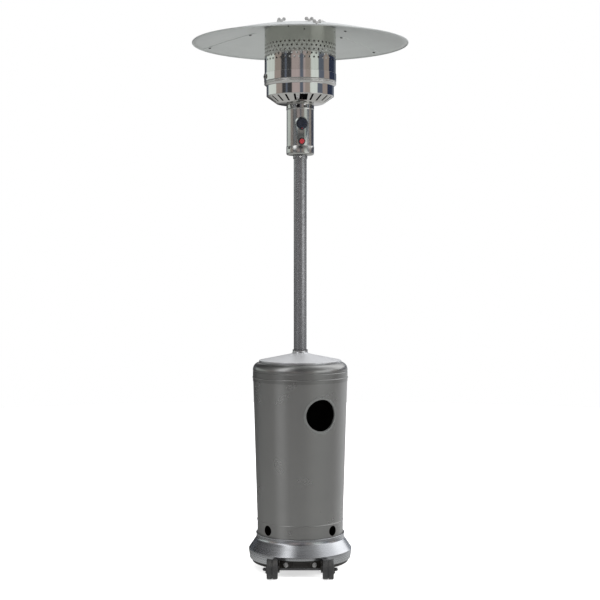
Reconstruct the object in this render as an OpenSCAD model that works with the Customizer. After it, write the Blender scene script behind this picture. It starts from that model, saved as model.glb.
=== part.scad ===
// Mushroom patio heater. Millimetres, +Z up, origin on the floor under the pole.
// The wheels and the dial stand at the front, towards -Y.

/* [Base] */
// How far the base plate reaches past the cover's foot
base_margin = 19.5; // [14:0.5:26]
// Height of the base plate's skirt
base_h = 44; // [34:1:60]
// Sheet thickness of the base plate
base_sheet = 2; // [1.5:0.1:3]
// Width of the flange that the skirt turns in at the bottom
base_flange_w = 36; // [34:1:50]
// Height of a rubber foot
foot_h = 28; // [18:1:36]
// Diameter of a rubber foot
foot_d = 32; // [22:1:34]
// Height of the trim ring round the foot of the cover
ring_h = 68; // [56:1:90]
// How far the trim ring reaches past the base plate
ring_margin = 14; // [8:0.5:24]
// Sheet thickness of the trim ring
ring_sheet = 1.2; // [0.8:0.1:2]
// How far the trim ring's skirt hangs under the top of the base plate
ring_skirt_h = 30; // [20:1:32]

/* [Wheels] */
// Diameter of a wheel
wheel_d = 75; // [60:1:90]
// Width of a wheel's tread
wheel_w = 42; // [30:1:46]
// Length of a wheel's hub
hub_w = 49; // [47:1:54]
// Distance between the middles of the wheels
wheel_track = 212; // [190:1:230]
// Diameter of the axle
axle_d = 8; // [6:0.5:12]
// Thickness of the bracket's ears
ear_t = 3; // [2:0.5:5]

/* [Frame] */
// Height of the legs round the gas bottle
leg_h = 703; // [640:1:760]
// Width of a leg
leg_w = 30; // [20:1:40]
// Thickness of a leg
leg_t = 3; // [2:0.5:5]
// Thickness of the mounting plate on the legs
plate_t = 3; // [2:0.5:6]
// Outside diameter of the pole
pole_d = 50.8; // [44:0.1:54]
// Wall of the pole
pole_wall = 1.5; // [1.2:0.1:3]
// Length of the pole
pole_l = 868; // [780:1:1000]
// Diameter of the pole's flange
flange_d = 120; // [110:1:150]
// Height of the socket on the flange
socket_h = 40; // [25:1:50]

/* [Cover] */
// Diameter of the cover under the shoulder
cover_top_d = 369; // [350:1:380]
// How far the cover's foot stands in from its top
cover_taper = 16; // [6:0.5:20]
// Sheet thickness of the cover
cover_sheet = 1; // [0.8:0.1:1.5]
// Height of the straight foot of the cover, up to its bead
cover_foot_h = 118; // [108:1:130]
// How far the shoulder's lower edge stands under the top of the legs
cover_drop = 40; // [30:1:60]
// Height of the straight part of the shoulder
shoulder_h = 44; // [35:1:60]
// Radius that rounds the shoulder over
shoulder_r = 30; // [22:1:36]
// How far the lid's edge stands in from the cover's top
lid_inset = 23.5; // [16:0.5:30]
// Rise of the lid's cone
lid_rise = 26; // [15:1:40]
// How far the middle of the access hole stands under the shoulder's lower edge
access_drop = 120; // [100:1:200]
// Inside diameter of the access hole's trim
access_d = 122; // [90:1:130]
// Width of the access hole's trim
access_trim_w = 10; // [6:1:14]
// How far the access hole stands round from the front, to the right
access_turn = 26.6; // [15:0.2:40]
// Diameter of a vent hole
vent_d = 39; // [30:1:42]
// Height of the vent holes above the cover's foot
vent_h = 92; // [88:1:94]
// How far the front vents stand round from the front
vent_turn = 48; // [40:1:55]

/* [Control housing] */
// Diameter of the housing tube
housing_d = 106; // [100:1:116]
// Length of the housing from its cap to the burner
housing_h = 199; // [185:1:220]
// Sheet thickness of the housing
housing_sheet = 1; // [0.8:0.1:1.5]
// Height of the cap under the housing
cap_h = 34; // [28:1:36]
// Height of the vent collar on top
collar_h = 24; // [18:1:30]
// How far the head is turned from the front, to the right
head_turn = 6.5; // [-15:0.5:15]
// Height of the knob above the foot of the housing
knob_h = 118; // [112:1:124]
// Height of the igniter button above the foot of the housing
button_h = 50; // [46:1:54]
// Diameter of the knob
knob_d = 45; // [36:1:48]
// Depth of the knob
knob_t = 18; // [14:1:24]
// How far the knob can be pushed in
knob_travel = 3; // [2:0.5:4]
// Diameter of the igniter button
button_d = 19; // [14:1:20]
// How far the button can be pushed in
button_travel = 5; // [3:0.5:6]

/* [Burner] */
// Diameter of the burner drum
drum_d = 263; // [250:1:270]
// Height of the drum's wall
drum_h = 41; // [34:1:50]
// Height of the slotted cone under the drum
cone_h = 28; // [22:1:34]
// Diameter of the cone's flat bottom
cone_bottom_d = 182; // [170:1:190]
// Number of slots round the cone
slot_count = 22; // [16:1:28]
// Width of a slot
slot_w = 8; // [5:0.5:11]
// Width of the lighting window between the slots
window_w = 31; // [20:1:36]

/* [Emitter] */
// Diameter of the emitter screen
screen_d = 278; // [275:1:290]
// Height of the emitter screen
screen_h = 201; // [180:1:230]
// Sheet thickness of the screen
screen_sheet = 0.8; // [0.6:0.1:1.2]
// Number of holes in a row
hole_count = 46; // [30:1:52]
// Number of rows of holes
row_count = 5; // [3:1:7]
// Diameter of a hole
hole_d = 8; // [5:0.5:10]
// Distance between the rows of holes
row_pitch = 15; // [12:0.5:18]
// Height of the clamping band round the screen's foot
band_h = 30; // [20:1:40]

/* [Reflector] */
// Diameter of the reflector
reflector_d = 842; // [780:1:900]
// Rise from the rim to the middle
reflector_rise = 78; // [60:1:90]
// Sheet thickness of the reflector
reflector_sheet = 1.2; // [1:0.1:2]
// Diameter of the plate in the middle
centre_plate_d = 380; // [360:1:400]
// Gap between the emitter and the reflector's middle
reflector_gap = 24.5; // [20:0.5:34]
// How far the first seam stands round from the right-hand side, towards the back
seam_turn = 37; // [0:1:60]

/* [Hidden] */

$fn = 96;
round_fn = 32;
fine_fn = 384;

// Clearances: a touching seat, a turning fit, a sliding fit, a cut's overrun
seat_gap = 0.1;
running_fit = 0.08;
sliding_fit = 0.3;
overrun = 1;

// Base: it follows the cover's foot
cover_foot_d = cover_top_d - 2 * cover_taper;
base_d = cover_foot_d + 2 * base_margin;
ring_d = base_d + 2 * ring_margin;
base_r = base_d / 2;
base_z = foot_h;
base_top = base_z + base_h;
base_round = 8;
foot_ring_r = base_r - base_flange_w / 2 - base_sheet;
foot_stud_d = 10;
foot_stud_h = 8;
foot_chamfer = 3;
foot_angles = [45, 135, 225, 315];

// Trim ring: a collar, a flare, a lip, a skirt, and a seat that lies on the base plate
ring_r = ring_d / 2;
ring_collar_h = 22;
ring_collar_gap = 3;
ring_lip_h = 8;
ring_lip_r = 3;
ring_seat_w = 24;
ring_taper = 4;
ring_front_h = 6;
ring_bead = 1.6;

// Bolts: shank, head and nut
bolt_d = 6;
bolt_head_h = 4;
bolt_head_d = 11;
nut_h = 5;
thread_gap = 0.1;

// Wheels
wheel_r = wheel_d / 2;
wheel_lift = 1;
wheel_gap = 7;
wheel_lip_gap = 3;
side_play = 0.5;
axle_z = wheel_r + wheel_lift;
wheel_inner_x = wheel_track / 2 - wheel_w / 2;
wheel_outer_x = wheel_track / 2 + wheel_w / 2;
wheel_chord = sqrt(max(0, wheel_r * wheel_r - pow(base_top - ring_front_h - axle_z, 2)));
base_reach = sqrt(base_r * base_r - wheel_inner_x * wheel_inner_x) + wheel_r + wheel_gap;
lip_reach = sqrt(ring_r * ring_r - wheel_inner_x * wheel_inner_x) + wheel_chord + wheel_lip_gap;
axle_y = -max(base_reach, lip_reach);
tread_round = 5;
rim_wall = 9;
web_t = 14;
hub_d = 26;
ear_x = wheel_track / 2 - hub_w / 2 - side_play;
ear_r = 13;
bracket_tab_t = 3;
bracket_tab_l = 50;
bracket_margin = 4;
bracket_bolt_share = 0.58;
nut_reach = wheel_track / 2 + hub_w / 2 + side_play;
axle_nut_w = 14;
axle_nut_h = 6;

// Frame
cover_foot_r = cover_foot_d / 2;
leg_gap = 3;
leg_circle = cover_foot_r - cover_sheet - leg_gap;
leg_outer = sqrt(leg_circle * leg_circle - leg_w * leg_w / 4);
leg_tab = 34;
leg_bolt_r = leg_outer - leg_tab + bolt_head_d;
plate_z = base_top + leg_h;
flange_t = 4;
flange_z = plate_z + plate_t;
socket_wall = 3;
pole_r = pole_d / 2;
pole_z = flange_z + flange_t;
pole_top = pole_z + pole_l;
flange_bolt_r = flange_d / 2 - bolt_head_d;
neck_wall = 2;
neck_drop = 1;

// Cover, shoulder and lid
cover_z = base_top + sliding_fit;
cover_top_r = cover_top_d / 2;
cover_h = leg_h - cover_drop;
bead_r = 2;
bead_z = cover_z + cover_foot_h;
shoulder_z = cover_z + cover_h;
shoulder_wall = 1;
shoulder_out = cover_top_r + shoulder_wall + sliding_fit;
shoulder_seat_w = 14;
shoulder_bead_h = 14;
lap_h = 22;
lid_d = cover_top_d - 2 * lid_inset;
lid_r = lid_d / 2;
lid_edge_h = 9;
lid_collar_h = 12;
lid_collar_flare = 3;
lid_wall = 1;
bush_wall = 3;
bush_lip = 3;
bush_h = 16;
access_r = access_d / 2;
access_h = cover_h - access_drop;
access_z = cover_z + access_h;
trim_t = 2.2;
trim_neck = 7;
trim_neck_t = 2;
screw_d = 4;
screw_head_d = 8;
screw_head_h = 2.5;

// Control housing
housing_r = housing_d / 2;
housing_z = pole_top - cap_h + neck_drop;
housing_top = housing_z + housing_h;
cap_round = 7;
cap_wall = 1;
cap_r = housing_r + cap_wall + seat_gap;
housing_wall_z = housing_z + cap_h / 2;
cap_screw_count = 6;
vent_slot_count = 12;
vent_slot_w = 14;
vent_slot_h = 13;
pole_collar_h = 14;
pole_collar_t = 2.4;
knob_z = housing_z + knob_h;
button_z = housing_z + button_h;
dial_t = 1.4;
dial_r = housing_r + seat_gap + dial_t;
dial_top_r = 27;
dial_low_r = button_h - cap_h - sliding_fit;
boss_d = 17;
boss_out = 1;
knob_r = knob_d / 2;
knob_back = dial_r + boss_out + knob_travel + sliding_fit;
knob_skirt_share = 0.35;
knob_grip_share = 0.78;
knob_flutes = 10;
knob_flute_d = 7;
pointer_w = 4;
pointer_t = 1.2;
stem_d = 8;
stem_depth = 24;
valve_w = 34;
valve_front = 30;
valve_rear = 11;
valve_h = 46;
inlet_d = 18;
inlet_h = 16;
riser_d = 10;
riser_wall = 1;
riser_seat = 8;
riser_tail = 20;
hose_tail_d = 14;
hose_tail_l = 16;
injector_d = 12;
injector_h = 14;
jet_d = 1.2;
mix_d = 26;
mix_wall = 1.5;
mix_hole_d = 9;
bezel_d = 27;
bezel_t = 4;
bezel_neck_d = 22;
bezel_neck_l = 14;
button_out = 5;
button_stem_d = 8;
piezo_d = 18;
piezo_l = 28;
tilt_w = 20;
tilt_t = 14;
tilt_h = 26;
tilt_rise = 158;

// Burner
drum_r = drum_d / 2;
drum_sheet = 1;
cone_z = housing_top + seat_gap;
cone_bottom_r = cone_bottom_d / 2;
cone_hole_r = 30;
drum_z = cone_z + cone_h;
drum_top = drum_z + drum_h;
slot_start_share = 0.12;
slot_end_share = 0.88;
lap = 8;
screen_r = screen_d / 2;
step_h = 4;
groove_r = 3.2;
groove_depth = 1.4;
ledge_z = drum_top + step_h;
screen_z = ledge_z + groove_r * 4;
spigot_h = 10;
bowl_r = 96;
bowl_depth = 26;
bowl_rise = 22;
bowl_wall = 1.5;
bowl_hole_d = 6;
bowl_rings = 4;
pilot_r = 112;
pilot_step = 9;
pilot_d = 8;
pilot_h = 26;
probe_d = 5;
probe_h = 34;
ceramic_d = 8;
ceramic_h = 16;
wire_d = 3;

// Emitter
screen_top = screen_z + screen_h;
hole_top_share = 0.69;
band_t = 1.8;
band_z = screen_z;
clamp_turn = -72;
clamp_w = 22;
clamp_h = 16;
clamp_t = 4;
top_rim_h = 10;
top_sheet = 1;

// Reflector: the dome's height follows a power of its radius
reflector_r = reflector_d / 2;
dome_power = 1.5;
dome_steps = 14;
rim_z = screen_top + reflector_gap - reflector_rise;
panel_inner_r = centre_plate_d / 2 - 40;
centre_r = centre_plate_d / 2;
roll_r = 2.6;
seam_gap_angle = 0.25;
lap_angle = 4;
panel_angle = 120;
seam_bolt_radii = [centre_r + 22, reflector_r - 33];
plate_bolt_r = centre_r - 12;
plate_bolt_turn = -30;
stud_r = 100;
stud_turn = 60;
stud_out = 15;
spacer_d = 13;
nut_hub_d = 12;
nut_hub_h = 9;
wing_r = 7;
wing_t = 2.6;
wing_out = 10;

// Points of an arc round [x, y], from one angle to another
function arc(x, y, r, from, to, steps) =
    [for (i = [0 : steps]) [x + r * cos(from + (to - from) * i / steps), y + r * sin(from + (to - from) * i / steps)]];

// Unit normal to the left of a step
function left_of(a, b) = [a[1] - b[1], b[0] - a[0]] / norm(b - a);

// Where a corner of a path goes when the path is moved sideways
function mitre(n, m) = (n + m) / (1 + n * m);

// The second side of a sheet whose first side follows a path
function other_side(path, t) = [for (i = [0 : len(path) - 1])
    let (before = i == 0 ? left_of(path[0], path[1]) : left_of(path[i - 1], path[i]))
    let (after = i == len(path) - 1 ? before : left_of(path[i], path[i + 1]))
    path[i] + t * mitre(before, after)];

function backwards(list) = [for (i = [len(list) - 1 : -1 : 0]) list[i]];

// Sheet metal spun round the axis: the wall lies on the path's left
module spun_sheet(path, t) {
    rotate_extrude()
        polygon(concat(path, backwards(other_side(path, t))));
}

// A tube standing on z = 0
module tube(outer_r, inner_r, h) {
    difference() {
        cylinder(r = outer_r, h = h);
        translate([0, 0, -overrun])
            cylinder(r = inner_r, h = h + 2 * overrun);
    }
}

// Puts children at a radius and a height, turned to the right from the front, their Z axis outwards
module facing(turn, r, z) {
    rotate([0, 0, turn])
        translate([0, -r, z])
            rotate([90, 0, 0])
                children();
}

// A bolt that hangs from z = 0, with its nut under a grip length
module bolt(d, grip, head_d, head_h) {
    translate([0, 0, -grip - nut_h])
        cylinder(d = d, h = grip + nut_h);
    cylinder(d = head_d, h = head_h, $fn = 6);
    translate([0, 0, -grip - nut_h])
        difference() {
            cylinder(d = head_d, h = nut_h, $fn = 6);
            translate([0, 0, -overrun])
                cylinder(d = d - thread_gap, h = nut_h + 2 * overrun);
        }
}

module bolt_hole(x, y, z, d) {
    translate([x, y, z - overrun * 10])
        cylinder(d = d + 2 * sliding_fit, h = overrun * 20, $fn = round_fn);
}

// Base plate: a round sheet with a skirt that turns in at the bottom
module base_plate() {
    path = concat(
        [[base_r - base_flange_w, base_z], [base_r, base_z]],
        arc(base_r - base_round, base_top - base_round, base_round, 0, 90, 8),
        [[0, base_top]]);
    color("#1c1c1e")
        difference() {
            spun_sheet(path, base_sheet);
            for (a = foot_angles)
                rotate([0, 0, a])
                    bolt_hole(foot_ring_r, 0, base_z, foot_stud_d);
            for (a = [0, 90, 180])
                rotate([0, 0, a])
                    bolt_hole(leg_bolt_r, 0, base_top, bolt_d);
            for (side = [-1, 1])
                facing(side * bracket_bolt_angle, base_r, bracket_mid_z)
                    cylinder(d = bolt_d + 2 * sliding_fit, h = overrun * 8, center = true, $fn = round_fn);
        }
}

module base_foot() {
    rotate_extrude()
        polygon([[0, 0], [foot_d / 2 - foot_chamfer, 0], [foot_d / 2, foot_chamfer],
            [foot_d / 2 - foot_chamfer, foot_h], [foot_stud_d / 2, foot_h],
            [foot_stud_d / 2, foot_h + foot_stud_h], [0, foot_h + foot_stud_h]]);
}

module base_feet() {
    color("#202022")
        for (a = foot_angles)
            rotate([0, 0, a])
                translate([foot_ring_r, 0, 0])
                    base_foot();
}

// Trim ring: spun sheet from the skirt up over the lip and the flare to the collar, on a flat seat
module base_trim_ring() {
    collar_r = cover_foot_r + ring_collar_gap + ring_sheet;
    top = base_top + ring_h;
    crease = top - ring_collar_h;
    lip_z = base_top + ring_lip_h - ring_lip_r;
    path = concat(
        [[ring_r - ring_taper, base_top - ring_skirt_h], [ring_r, base_top]],
        arc(ring_r - ring_lip_r, lip_z, ring_lip_r, 0, 45, 4),
        [[collar_r + ring_bead, crease], [collar_r, crease + ring_bead],
        [collar_r, top - ring_bead], [collar_r + ring_bead, top]]);
    color("#c9cacc") {
        difference() {
            spun_sheet(path, ring_sheet);
            ring_front_gap();
        }
        translate([0, 0, base_top + seat_gap])
            tube(ring_r - ring_sheet / 2, ring_r - ring_seat_w, ring_sheet);
    }
}

// The skirt is cut short over the wheels and their brackets
module ring_front_gap() {
    turn = asin(wheel_outer_x / ring_r);
    rotate([0, 0, -90 - turn])
        rotate_extrude(angle = 2 * turn)
            translate([base_r, base_top - ring_skirt_h - overrun])
                square([ring_r - base_r + overrun, ring_skirt_h - ring_front_h + overrun]);
}

// Brackets: a curved tab on the skirt and an ear that carries the axle
bracket_z = base_z + bracket_margin;
bracket_h = base_h - 2 * bracket_margin - base_round / 2;
bracket_mid_z = bracket_z + bracket_h / 2;
ear_angle = asin(ear_x / base_r);
tab_angle = bracket_tab_l / base_r * 180 / PI;
bracket_bolt_angle = ear_angle - tab_angle * bracket_bolt_share;
bracket_in = base_r + seat_gap;

module wheel_bracket() {
    ear_back = -sqrt(bracket_in * bracket_in - pow(ear_x - ear_t, 2)) - seat_gap;
    difference() {
        union() {
            translate([0, 0, bracket_z])
                rotate([0, 0, ear_angle - tab_angle - 90])
                    rotate_extrude(angle = tab_angle)
                        translate([bracket_in, 0])
                            square([bracket_tab_t, bracket_h]);
            translate([ear_x - ear_t, axle_y, bracket_z])
                cube([ear_t, ear_back - axle_y, bracket_h]);
            translate([ear_x - ear_t, axle_y, axle_z])
                rotate([0, 90, 0])
                    cylinder(r = ear_r, h = ear_t);
        }
        translate([ear_x - ear_t - overrun, axle_y, axle_z])
            rotate([0, 90, 0])
                cylinder(d = axle_d + 2 * seat_gap, h = ear_t + 2 * overrun);
        facing(bracket_bolt_angle, base_r, bracket_mid_z)
            cylinder(d = bolt_d + 2 * sliding_fit, h = overrun * 10, center = true, $fn = round_fn);
    }
}

module wheel_brackets() {
    color("#1c1c1e") {
        wheel_bracket();
        mirror([1, 0, 0])
            wheel_bracket();
    }
}

module bracket_bolts() {
    grip = bracket_tab_t + seat_gap + base_sheet;
    color("#d5d7d9")
        for (side = [-1, 1])
            facing(side * bracket_bolt_angle, bracket_in + bracket_tab_t + seat_gap, bracket_mid_z)
                bolt(bolt_d, grip + base_sheet, bolt_head_d + bolt_head_h, bolt_head_h);
}

module along_axle(x) {
    translate([x, axle_y, axle_z])
        rotate([0, 90, 0])
            children();
}

module wheel_axle() {
    reach = nut_reach + axle_nut_h;
    color("#9a9da0")
        along_axle(-reach)
            cylinder(d = axle_d, h = 2 * reach);
}

// A domed nut whose open face lies on z = 0
module axle_nut() {
    difference() {
        union() {
            cylinder(d = axle_nut_w, h = axle_nut_h, $fn = 6);
            translate([0, 0, axle_nut_h])
                cylinder(d1 = axle_nut_w - ring_bead, d2 = axle_nut_w / 3, h = axle_nut_h);
        }
        translate([0, 0, -overrun])
            cylinder(d = axle_d + thread_gap, h = axle_nut_h + overrun + seat_gap);
    }
}

module axle_nuts() {
    color("#2a2a2c") {
        along_axle(nut_reach)
            axle_nut();
        mirror([1, 0, 0])
            along_axle(nut_reach)
                axle_nut();
    }
}

// A moulded wheel: tread, web and hub in one, bored for the axle
module wheel(x) {
    half = wheel_w / 2;
    inner_r = wheel_r - rim_wall;
    color("#1a1a1c")
        along_axle(x)
            difference() {
                rotate_extrude()
                    polygon(concat(
                        [[axle_d / 2 + running_fit, -hub_w / 2], [hub_d / 2, -hub_w / 2],
                        [hub_d / 2, -web_t / 2], [inner_r, -web_t / 2], [inner_r, -half]],
                        arc(wheel_r - tread_round, -half + tread_round, tread_round, -90, 0, 5),
                        arc(wheel_r - tread_round, half - tread_round, tread_round, 0, 90, 5),
                        [[inner_r, half], [inner_r, web_t / 2], [hub_d / 2, web_t / 2],
                        [hub_d / 2, hub_w / 2], [axle_d / 2 + running_fit, hub_w / 2]]));
                rotate_extrude()
                    translate([wheel_r, 0])
                        circle(r = tread_round / 2, $fn = round_fn);
            }
}

module wheel_left() {
    wheel(-wheel_track / 2);
}

module wheel_right() {
    wheel(wheel_track / 2);
}

// A leg: flat bar with a tab bolted to the base and one under the mounting plate
module leg(turn) {
    color("#b9bbbd")
        rotate([0, 0, turn])
            difference() {
                union() {
                    translate([leg_outer - leg_t, -leg_w / 2, base_top])
                        cube([leg_t, leg_w, leg_h]);
                    translate([leg_outer - leg_tab, -leg_w / 2, base_top])
                        cube([leg_tab, leg_w, leg_t]);
                    translate([leg_outer - leg_tab, -leg_w / 2, plate_z - leg_t])
                        cube([leg_tab, leg_w, leg_t]);
                }
                bolt_hole(leg_bolt_r, 0, base_top, bolt_d);
                bolt_hole(leg_bolt_r, 0, plate_z, bolt_d);
            }
}

module leg_left() {
    leg(180);
}

module leg_right() {
    leg(0);
}

module leg_back() {
    leg(90);
}

module leg_bolts() {
    color("#a5a7a9")
        for (a = [0, 90, 180])
            rotate([0, 0, a]) {
                translate([leg_bolt_r, 0, base_top + leg_t])
                    bolt(bolt_d, leg_t + base_sheet, bolt_head_d, bolt_head_h);
                translate([leg_bolt_r, 0, plate_z + plate_t])
                    bolt(bolt_d, leg_t + plate_t, bolt_head_d, bolt_head_h);
            }
}

module top_mount_plate() {
    color("#2b2b2d")
        translate([0, 0, plate_z])
            difference() {
                cylinder(r = leg_outer, h = plate_t);
                translate([0, 0, -overrun])
                    cylinder(d = riser_d + 2 * sliding_fit, h = plate_t + 2 * overrun);
                for (a = [0, 90, 180])
                    rotate([0, 0, a])
                        bolt_hole(leg_bolt_r, 0, 0, bolt_d);
                for (a = foot_angles)
                    rotate([0, 0, a])
                        bolt_hole(flange_bolt_r, 0, 0, bolt_d);
            }
}

module pole_flange() {
    color("#7d8082")
        difference() {
            union() {
                translate([0, 0, flange_z])
                    cylinder(d = flange_d, h = flange_t);
                translate([0, 0, flange_z])
                    cylinder(r = pole_r + seat_gap + socket_wall, h = flange_t + socket_h);
            }
            translate([0, 0, pole_z])
                cylinder(r = pole_r + seat_gap, h = socket_h + overrun);
            translate([0, 0, flange_z - overrun])
                cylinder(d = riser_d + 2 * sliding_fit, h = flange_t + 2 * overrun);
            for (a = foot_angles)
                rotate([0, 0, a])
                    bolt_hole(flange_bolt_r, 0, flange_z, bolt_d);
            pole_screw_holes();
        }
}

module flange_bolts() {
    color("#a5a7a9")
        for (a = foot_angles)
            rotate([0, 0, a])
                translate([flange_bolt_r, 0, flange_z + flange_t])
                    bolt(bolt_d, flange_t + plate_t, bolt_head_d, bolt_head_h);
}

// Heights and outer radii of the short screws that hold the pole below and above
pole_screw_low = pole_z + socket_h / 2;
pole_screw_high = housing_z + cap_h / 2;

module pole_screw_holes() {
    for (z = [pole_screw_low, pole_screw_high])
        for (turn = [90, 270])
            facing(turn, pole_r, z)
                cylinder(d = screw_d + 2 * seat_gap, h = overrun * 14, center = true, $fn = round_fn);
}

module pole() {
    color("#6f7174")
        difference() {
            translate([0, 0, pole_z])
                tube(pole_r, pole_r - pole_wall, pole_l);
            pole_screw_holes();
        }
}

// A pan-headed screw that hangs from z = 0
module screw(l) {
    translate([0, 0, -l])
        cylinder(d = screw_d, h = l);
    cylinder(d1 = screw_head_d, d2 = screw_head_d - screw_head_h, h = screw_head_h);
}

module pole_screws() {
    color("#b5b7b9")
        for (turn = [90, 270]) {
            facing(turn, pole_r + 2 * seat_gap + socket_wall, pole_screw_low)
                screw(socket_wall + pole_wall * 2);
            facing(turn, pole_r + 2 * seat_gap + neck_wall, pole_screw_high)
                screw(neck_wall + pole_wall * 2);
        }
}

// Collar under the housing, clamped to the pole
module pole_collar() {
    color("#7b7e80")
        difference() {
            translate([0, 0, housing_z - pole_collar_h - seat_gap])
                tube(pole_r + seat_gap + pole_collar_t, pole_r + seat_gap, pole_collar_h);
            facing(0, pole_r, housing_z - pole_collar_h / 2)
                cylinder(d = screw_d + 2 * seat_gap, h = overrun * 10, center = true, $fn = round_fn);
        }
}

module collar_screw() {
    color("#dfe1e3")
        facing(0, pole_r + 2 * seat_gap + pole_collar_t, housing_z - pole_collar_h / 2)
            screw(pole_collar_t);
}

// Outside of the cover's wall, from the foot to the lap under the shoulder
function cover_path(grow) = concat(
    [[cover_foot_r + grow, cover_z], [cover_foot_r + grow, bead_z - bead_r]],
    arc(cover_foot_r + grow, bead_z, bead_r, -60, 60, 6),
    [[cover_foot_r + grow, bead_z + bead_r], [cover_top_r + grow, shoulder_z],
    [cover_top_r + grow, shoulder_z + lap_h]]);

module cylinder_cover() {
    color("#8a8b8a")
        difference() {
            spun_sheet(cover_path(0), cover_sheet);
            facing(access_turn, 0, access_z)
                cylinder(r = access_r + trim_neck_t + seat_gap, h = cover_top_d);
            for (quarter = [0 : 3])
                facing(vent_turn + quarter * 90, 0, cover_z + vent_h)
                    cylinder(d = vent_d, h = cover_top_d);
        }
}

module cover_shoulder() {
    bend = shoulder_out - shoulder_r;
    bend_z = shoulder_z + shoulder_h;
    bead = shoulder_z + shoulder_bead_h;
    path = concat(
        [[shoulder_out, shoulder_z], [shoulder_out, bead - bead_r]],
        arc(shoulder_out, bead, bead_r, -60, 60, 6),
        [[shoulder_out, bead + bead_r]],
        arc(bend, bend_z, shoulder_r, 0, 66, 10),
        [[lid_r - shoulder_seat_w, lid_seat_z]]);
    color("#8a8b8a")
        difference() {
            spun_sheet(path, shoulder_wall);
            lid_screw_holes();
        }
}

lid_seat_z = shoulder_z + shoulder_h + shoulder_r * sin(66);
lid_z = lid_seat_z + seat_gap;
lid_top = lid_z + lid_edge_h + lid_rise;
bush_r = pole_r + sliding_fit + bush_wall;
lid_screw_r = lid_r - shoulder_seat_w / 2;

module lid_screw_holes() {
    for (a = [30, 150, 270])
        rotate([0, 0, a])
            bolt_hole(lid_screw_r, 0, lid_z, screw_d);
}

// Lid: an inward seat, a low edge, a cone and a collar round the bush
module cover_lid() {
    path = concat(
        [[lid_r - shoulder_seat_w, lid_z], [lid_r, lid_z], [lid_r, lid_z + lid_edge_h - bead_r]],
        arc(lid_r - bead_r, lid_z + lid_edge_h - bead_r, bead_r, 15, 75, 3),
        [[bush_r + lid_wall + lid_collar_flare, lid_top], [bush_r + lid_wall + seat_gap, lid_top + lid_collar_flare],
        [bush_r + lid_wall + seat_gap, lid_top + lid_collar_h]]);
    color("#8a8b8a")
        difference() {
            spun_sheet(path, lid_wall);
            lid_screw_holes();
        }
}

module lid_bush() {
    color("#242426")
        translate([0, 0, lid_top + lid_collar_h - bush_h]) {
            tube(bush_r, pole_r + sliding_fit, bush_h + seat_gap);
            translate([0, 0, bush_h + seat_gap])
                tube(bush_r + lid_wall, pole_r + sliding_fit, bush_lip);
        }
}

module lid_screws() {
    color("#b5b7b9")
        for (a = [30, 150, 270])
            rotate([0, 0, a])
                translate([lid_screw_r, 0, lid_z + lid_wall])
                    screw(lid_wall + shoulder_wall * 3);
}

// Trim of the access hole: a rim that follows the cover's wall and a neck through it
module access_hole_trim() {
    rim_r = access_r + access_trim_w;
    color("#a3a4a4")
        difference() {
            union() {
                intersection() {
                    difference() {
                        rotate_extrude()
                            polygon(concat([[0, cover_z]], cover_path(seat_gap + trim_t), [[0, shoulder_z + lap_h]]));
                        rotate_extrude()
                            polygon(concat([[0, cover_z]], cover_path(seat_gap), [[0, shoulder_z + lap_h]]));
                    }
                    facing(access_turn, 0, access_z)
                        cylinder(r = rim_r, h = cover_top_d);
                }
                intersection() {
                    difference() {
                        rotate_extrude()
                            polygon(concat([[0, cover_z]], cover_path(seat_gap + trim_t), [[0, shoulder_z + lap_h]]));
                        rotate_extrude()
                            polygon(concat([[0, cover_z]], cover_path(-trim_neck), [[0, shoulder_z + lap_h]]));
                    }
                    facing(access_turn, 0, access_z)
                        cylinder(r = access_r + trim_neck_t, h = cover_top_d);
                }
            }
            facing(access_turn, 0, access_z)
                cylinder(r = access_r, h = cover_top_d);
        }
}

// Cap under the housing, with the neck that takes the pole
module housing_cap() {
    path = concat(
        [[pole_r + seat_gap, housing_z]],
        arc(cap_r - cap_round, housing_z + cap_round, cap_round, -90, 0, 8),
        [[cap_r, housing_z + cap_h]]);
    color("#a9aba9")
        difference() {
            union() {
                spun_sheet(path, cap_wall);
                translate([0, 0, housing_z])
                    tube(pole_r + seat_gap + neck_wall, pole_r + seat_gap, cap_h - neck_drop);
            }
            pole_screw_holes();
            cap_screw_holes();
        }
}

module cap_screw_holes() {
    for (i = [0 : cap_screw_count - 1])
        facing(head_turn + i * 360 / cap_screw_count, cap_r, housing_wall_z + cap_h / 4)
            cylinder(d = screw_d + 2 * seat_gap, h = overrun * 8, center = true, $fn = round_fn);
}

module cap_screws() {
    color("#8f9193")
        for (i = [0 : cap_screw_count - 1])
            facing(head_turn + i * 360 / cap_screw_count, cap_r + seat_gap, housing_wall_z + cap_h / 4)
                screw(cap_wall + housing_sheet * 2);
}

// Windows of the vent collar, cut through the collar and the tube behind it
module vent_windows() {
    for (i = [0 : vent_slot_count - 1])
        facing(head_turn + (i + 0.5) * 360 / vent_slot_count, housing_r, housing_top - collar_h / 2)
            cube([vent_slot_w, vent_slot_h, overrun * 12], center = true);
}

module control_housing() {
    color("#a9aba9")
        difference() {
            translate([0, 0, housing_wall_z])
                tube(housing_r, housing_r - housing_sheet, housing_top - housing_wall_z);
            vent_windows();
            cap_screw_holes();
            facing(head_turn, 0, knob_z)
                cylinder(d = boss_d + 2 * seat_gap, h = housing_d);
            facing(head_turn, 0, button_z)
                cylinder(d = bezel_neck_d + 2 * seat_gap, h = housing_d);
        }
}

module vent_collar() {
    color("#a9aba9")
        difference() {
            translate([0, 0, housing_top - collar_h])
                tube(cap_r, housing_r + seat_gap, collar_h);
            vent_windows();
        }
}

// Dial plate: a large round, a small one and straight sides that touch both, bent round the housing
module dial_shape() {
    lean = asin((dial_top_r - dial_low_r) / (knob_z - button_z));
    polygon(concat(
        arc(0, knob_z, dial_top_r, -lean, 180 + lean, 24),
        arc(0, button_z, dial_low_r, 180 + lean, 360 - lean, 16)));
}

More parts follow.
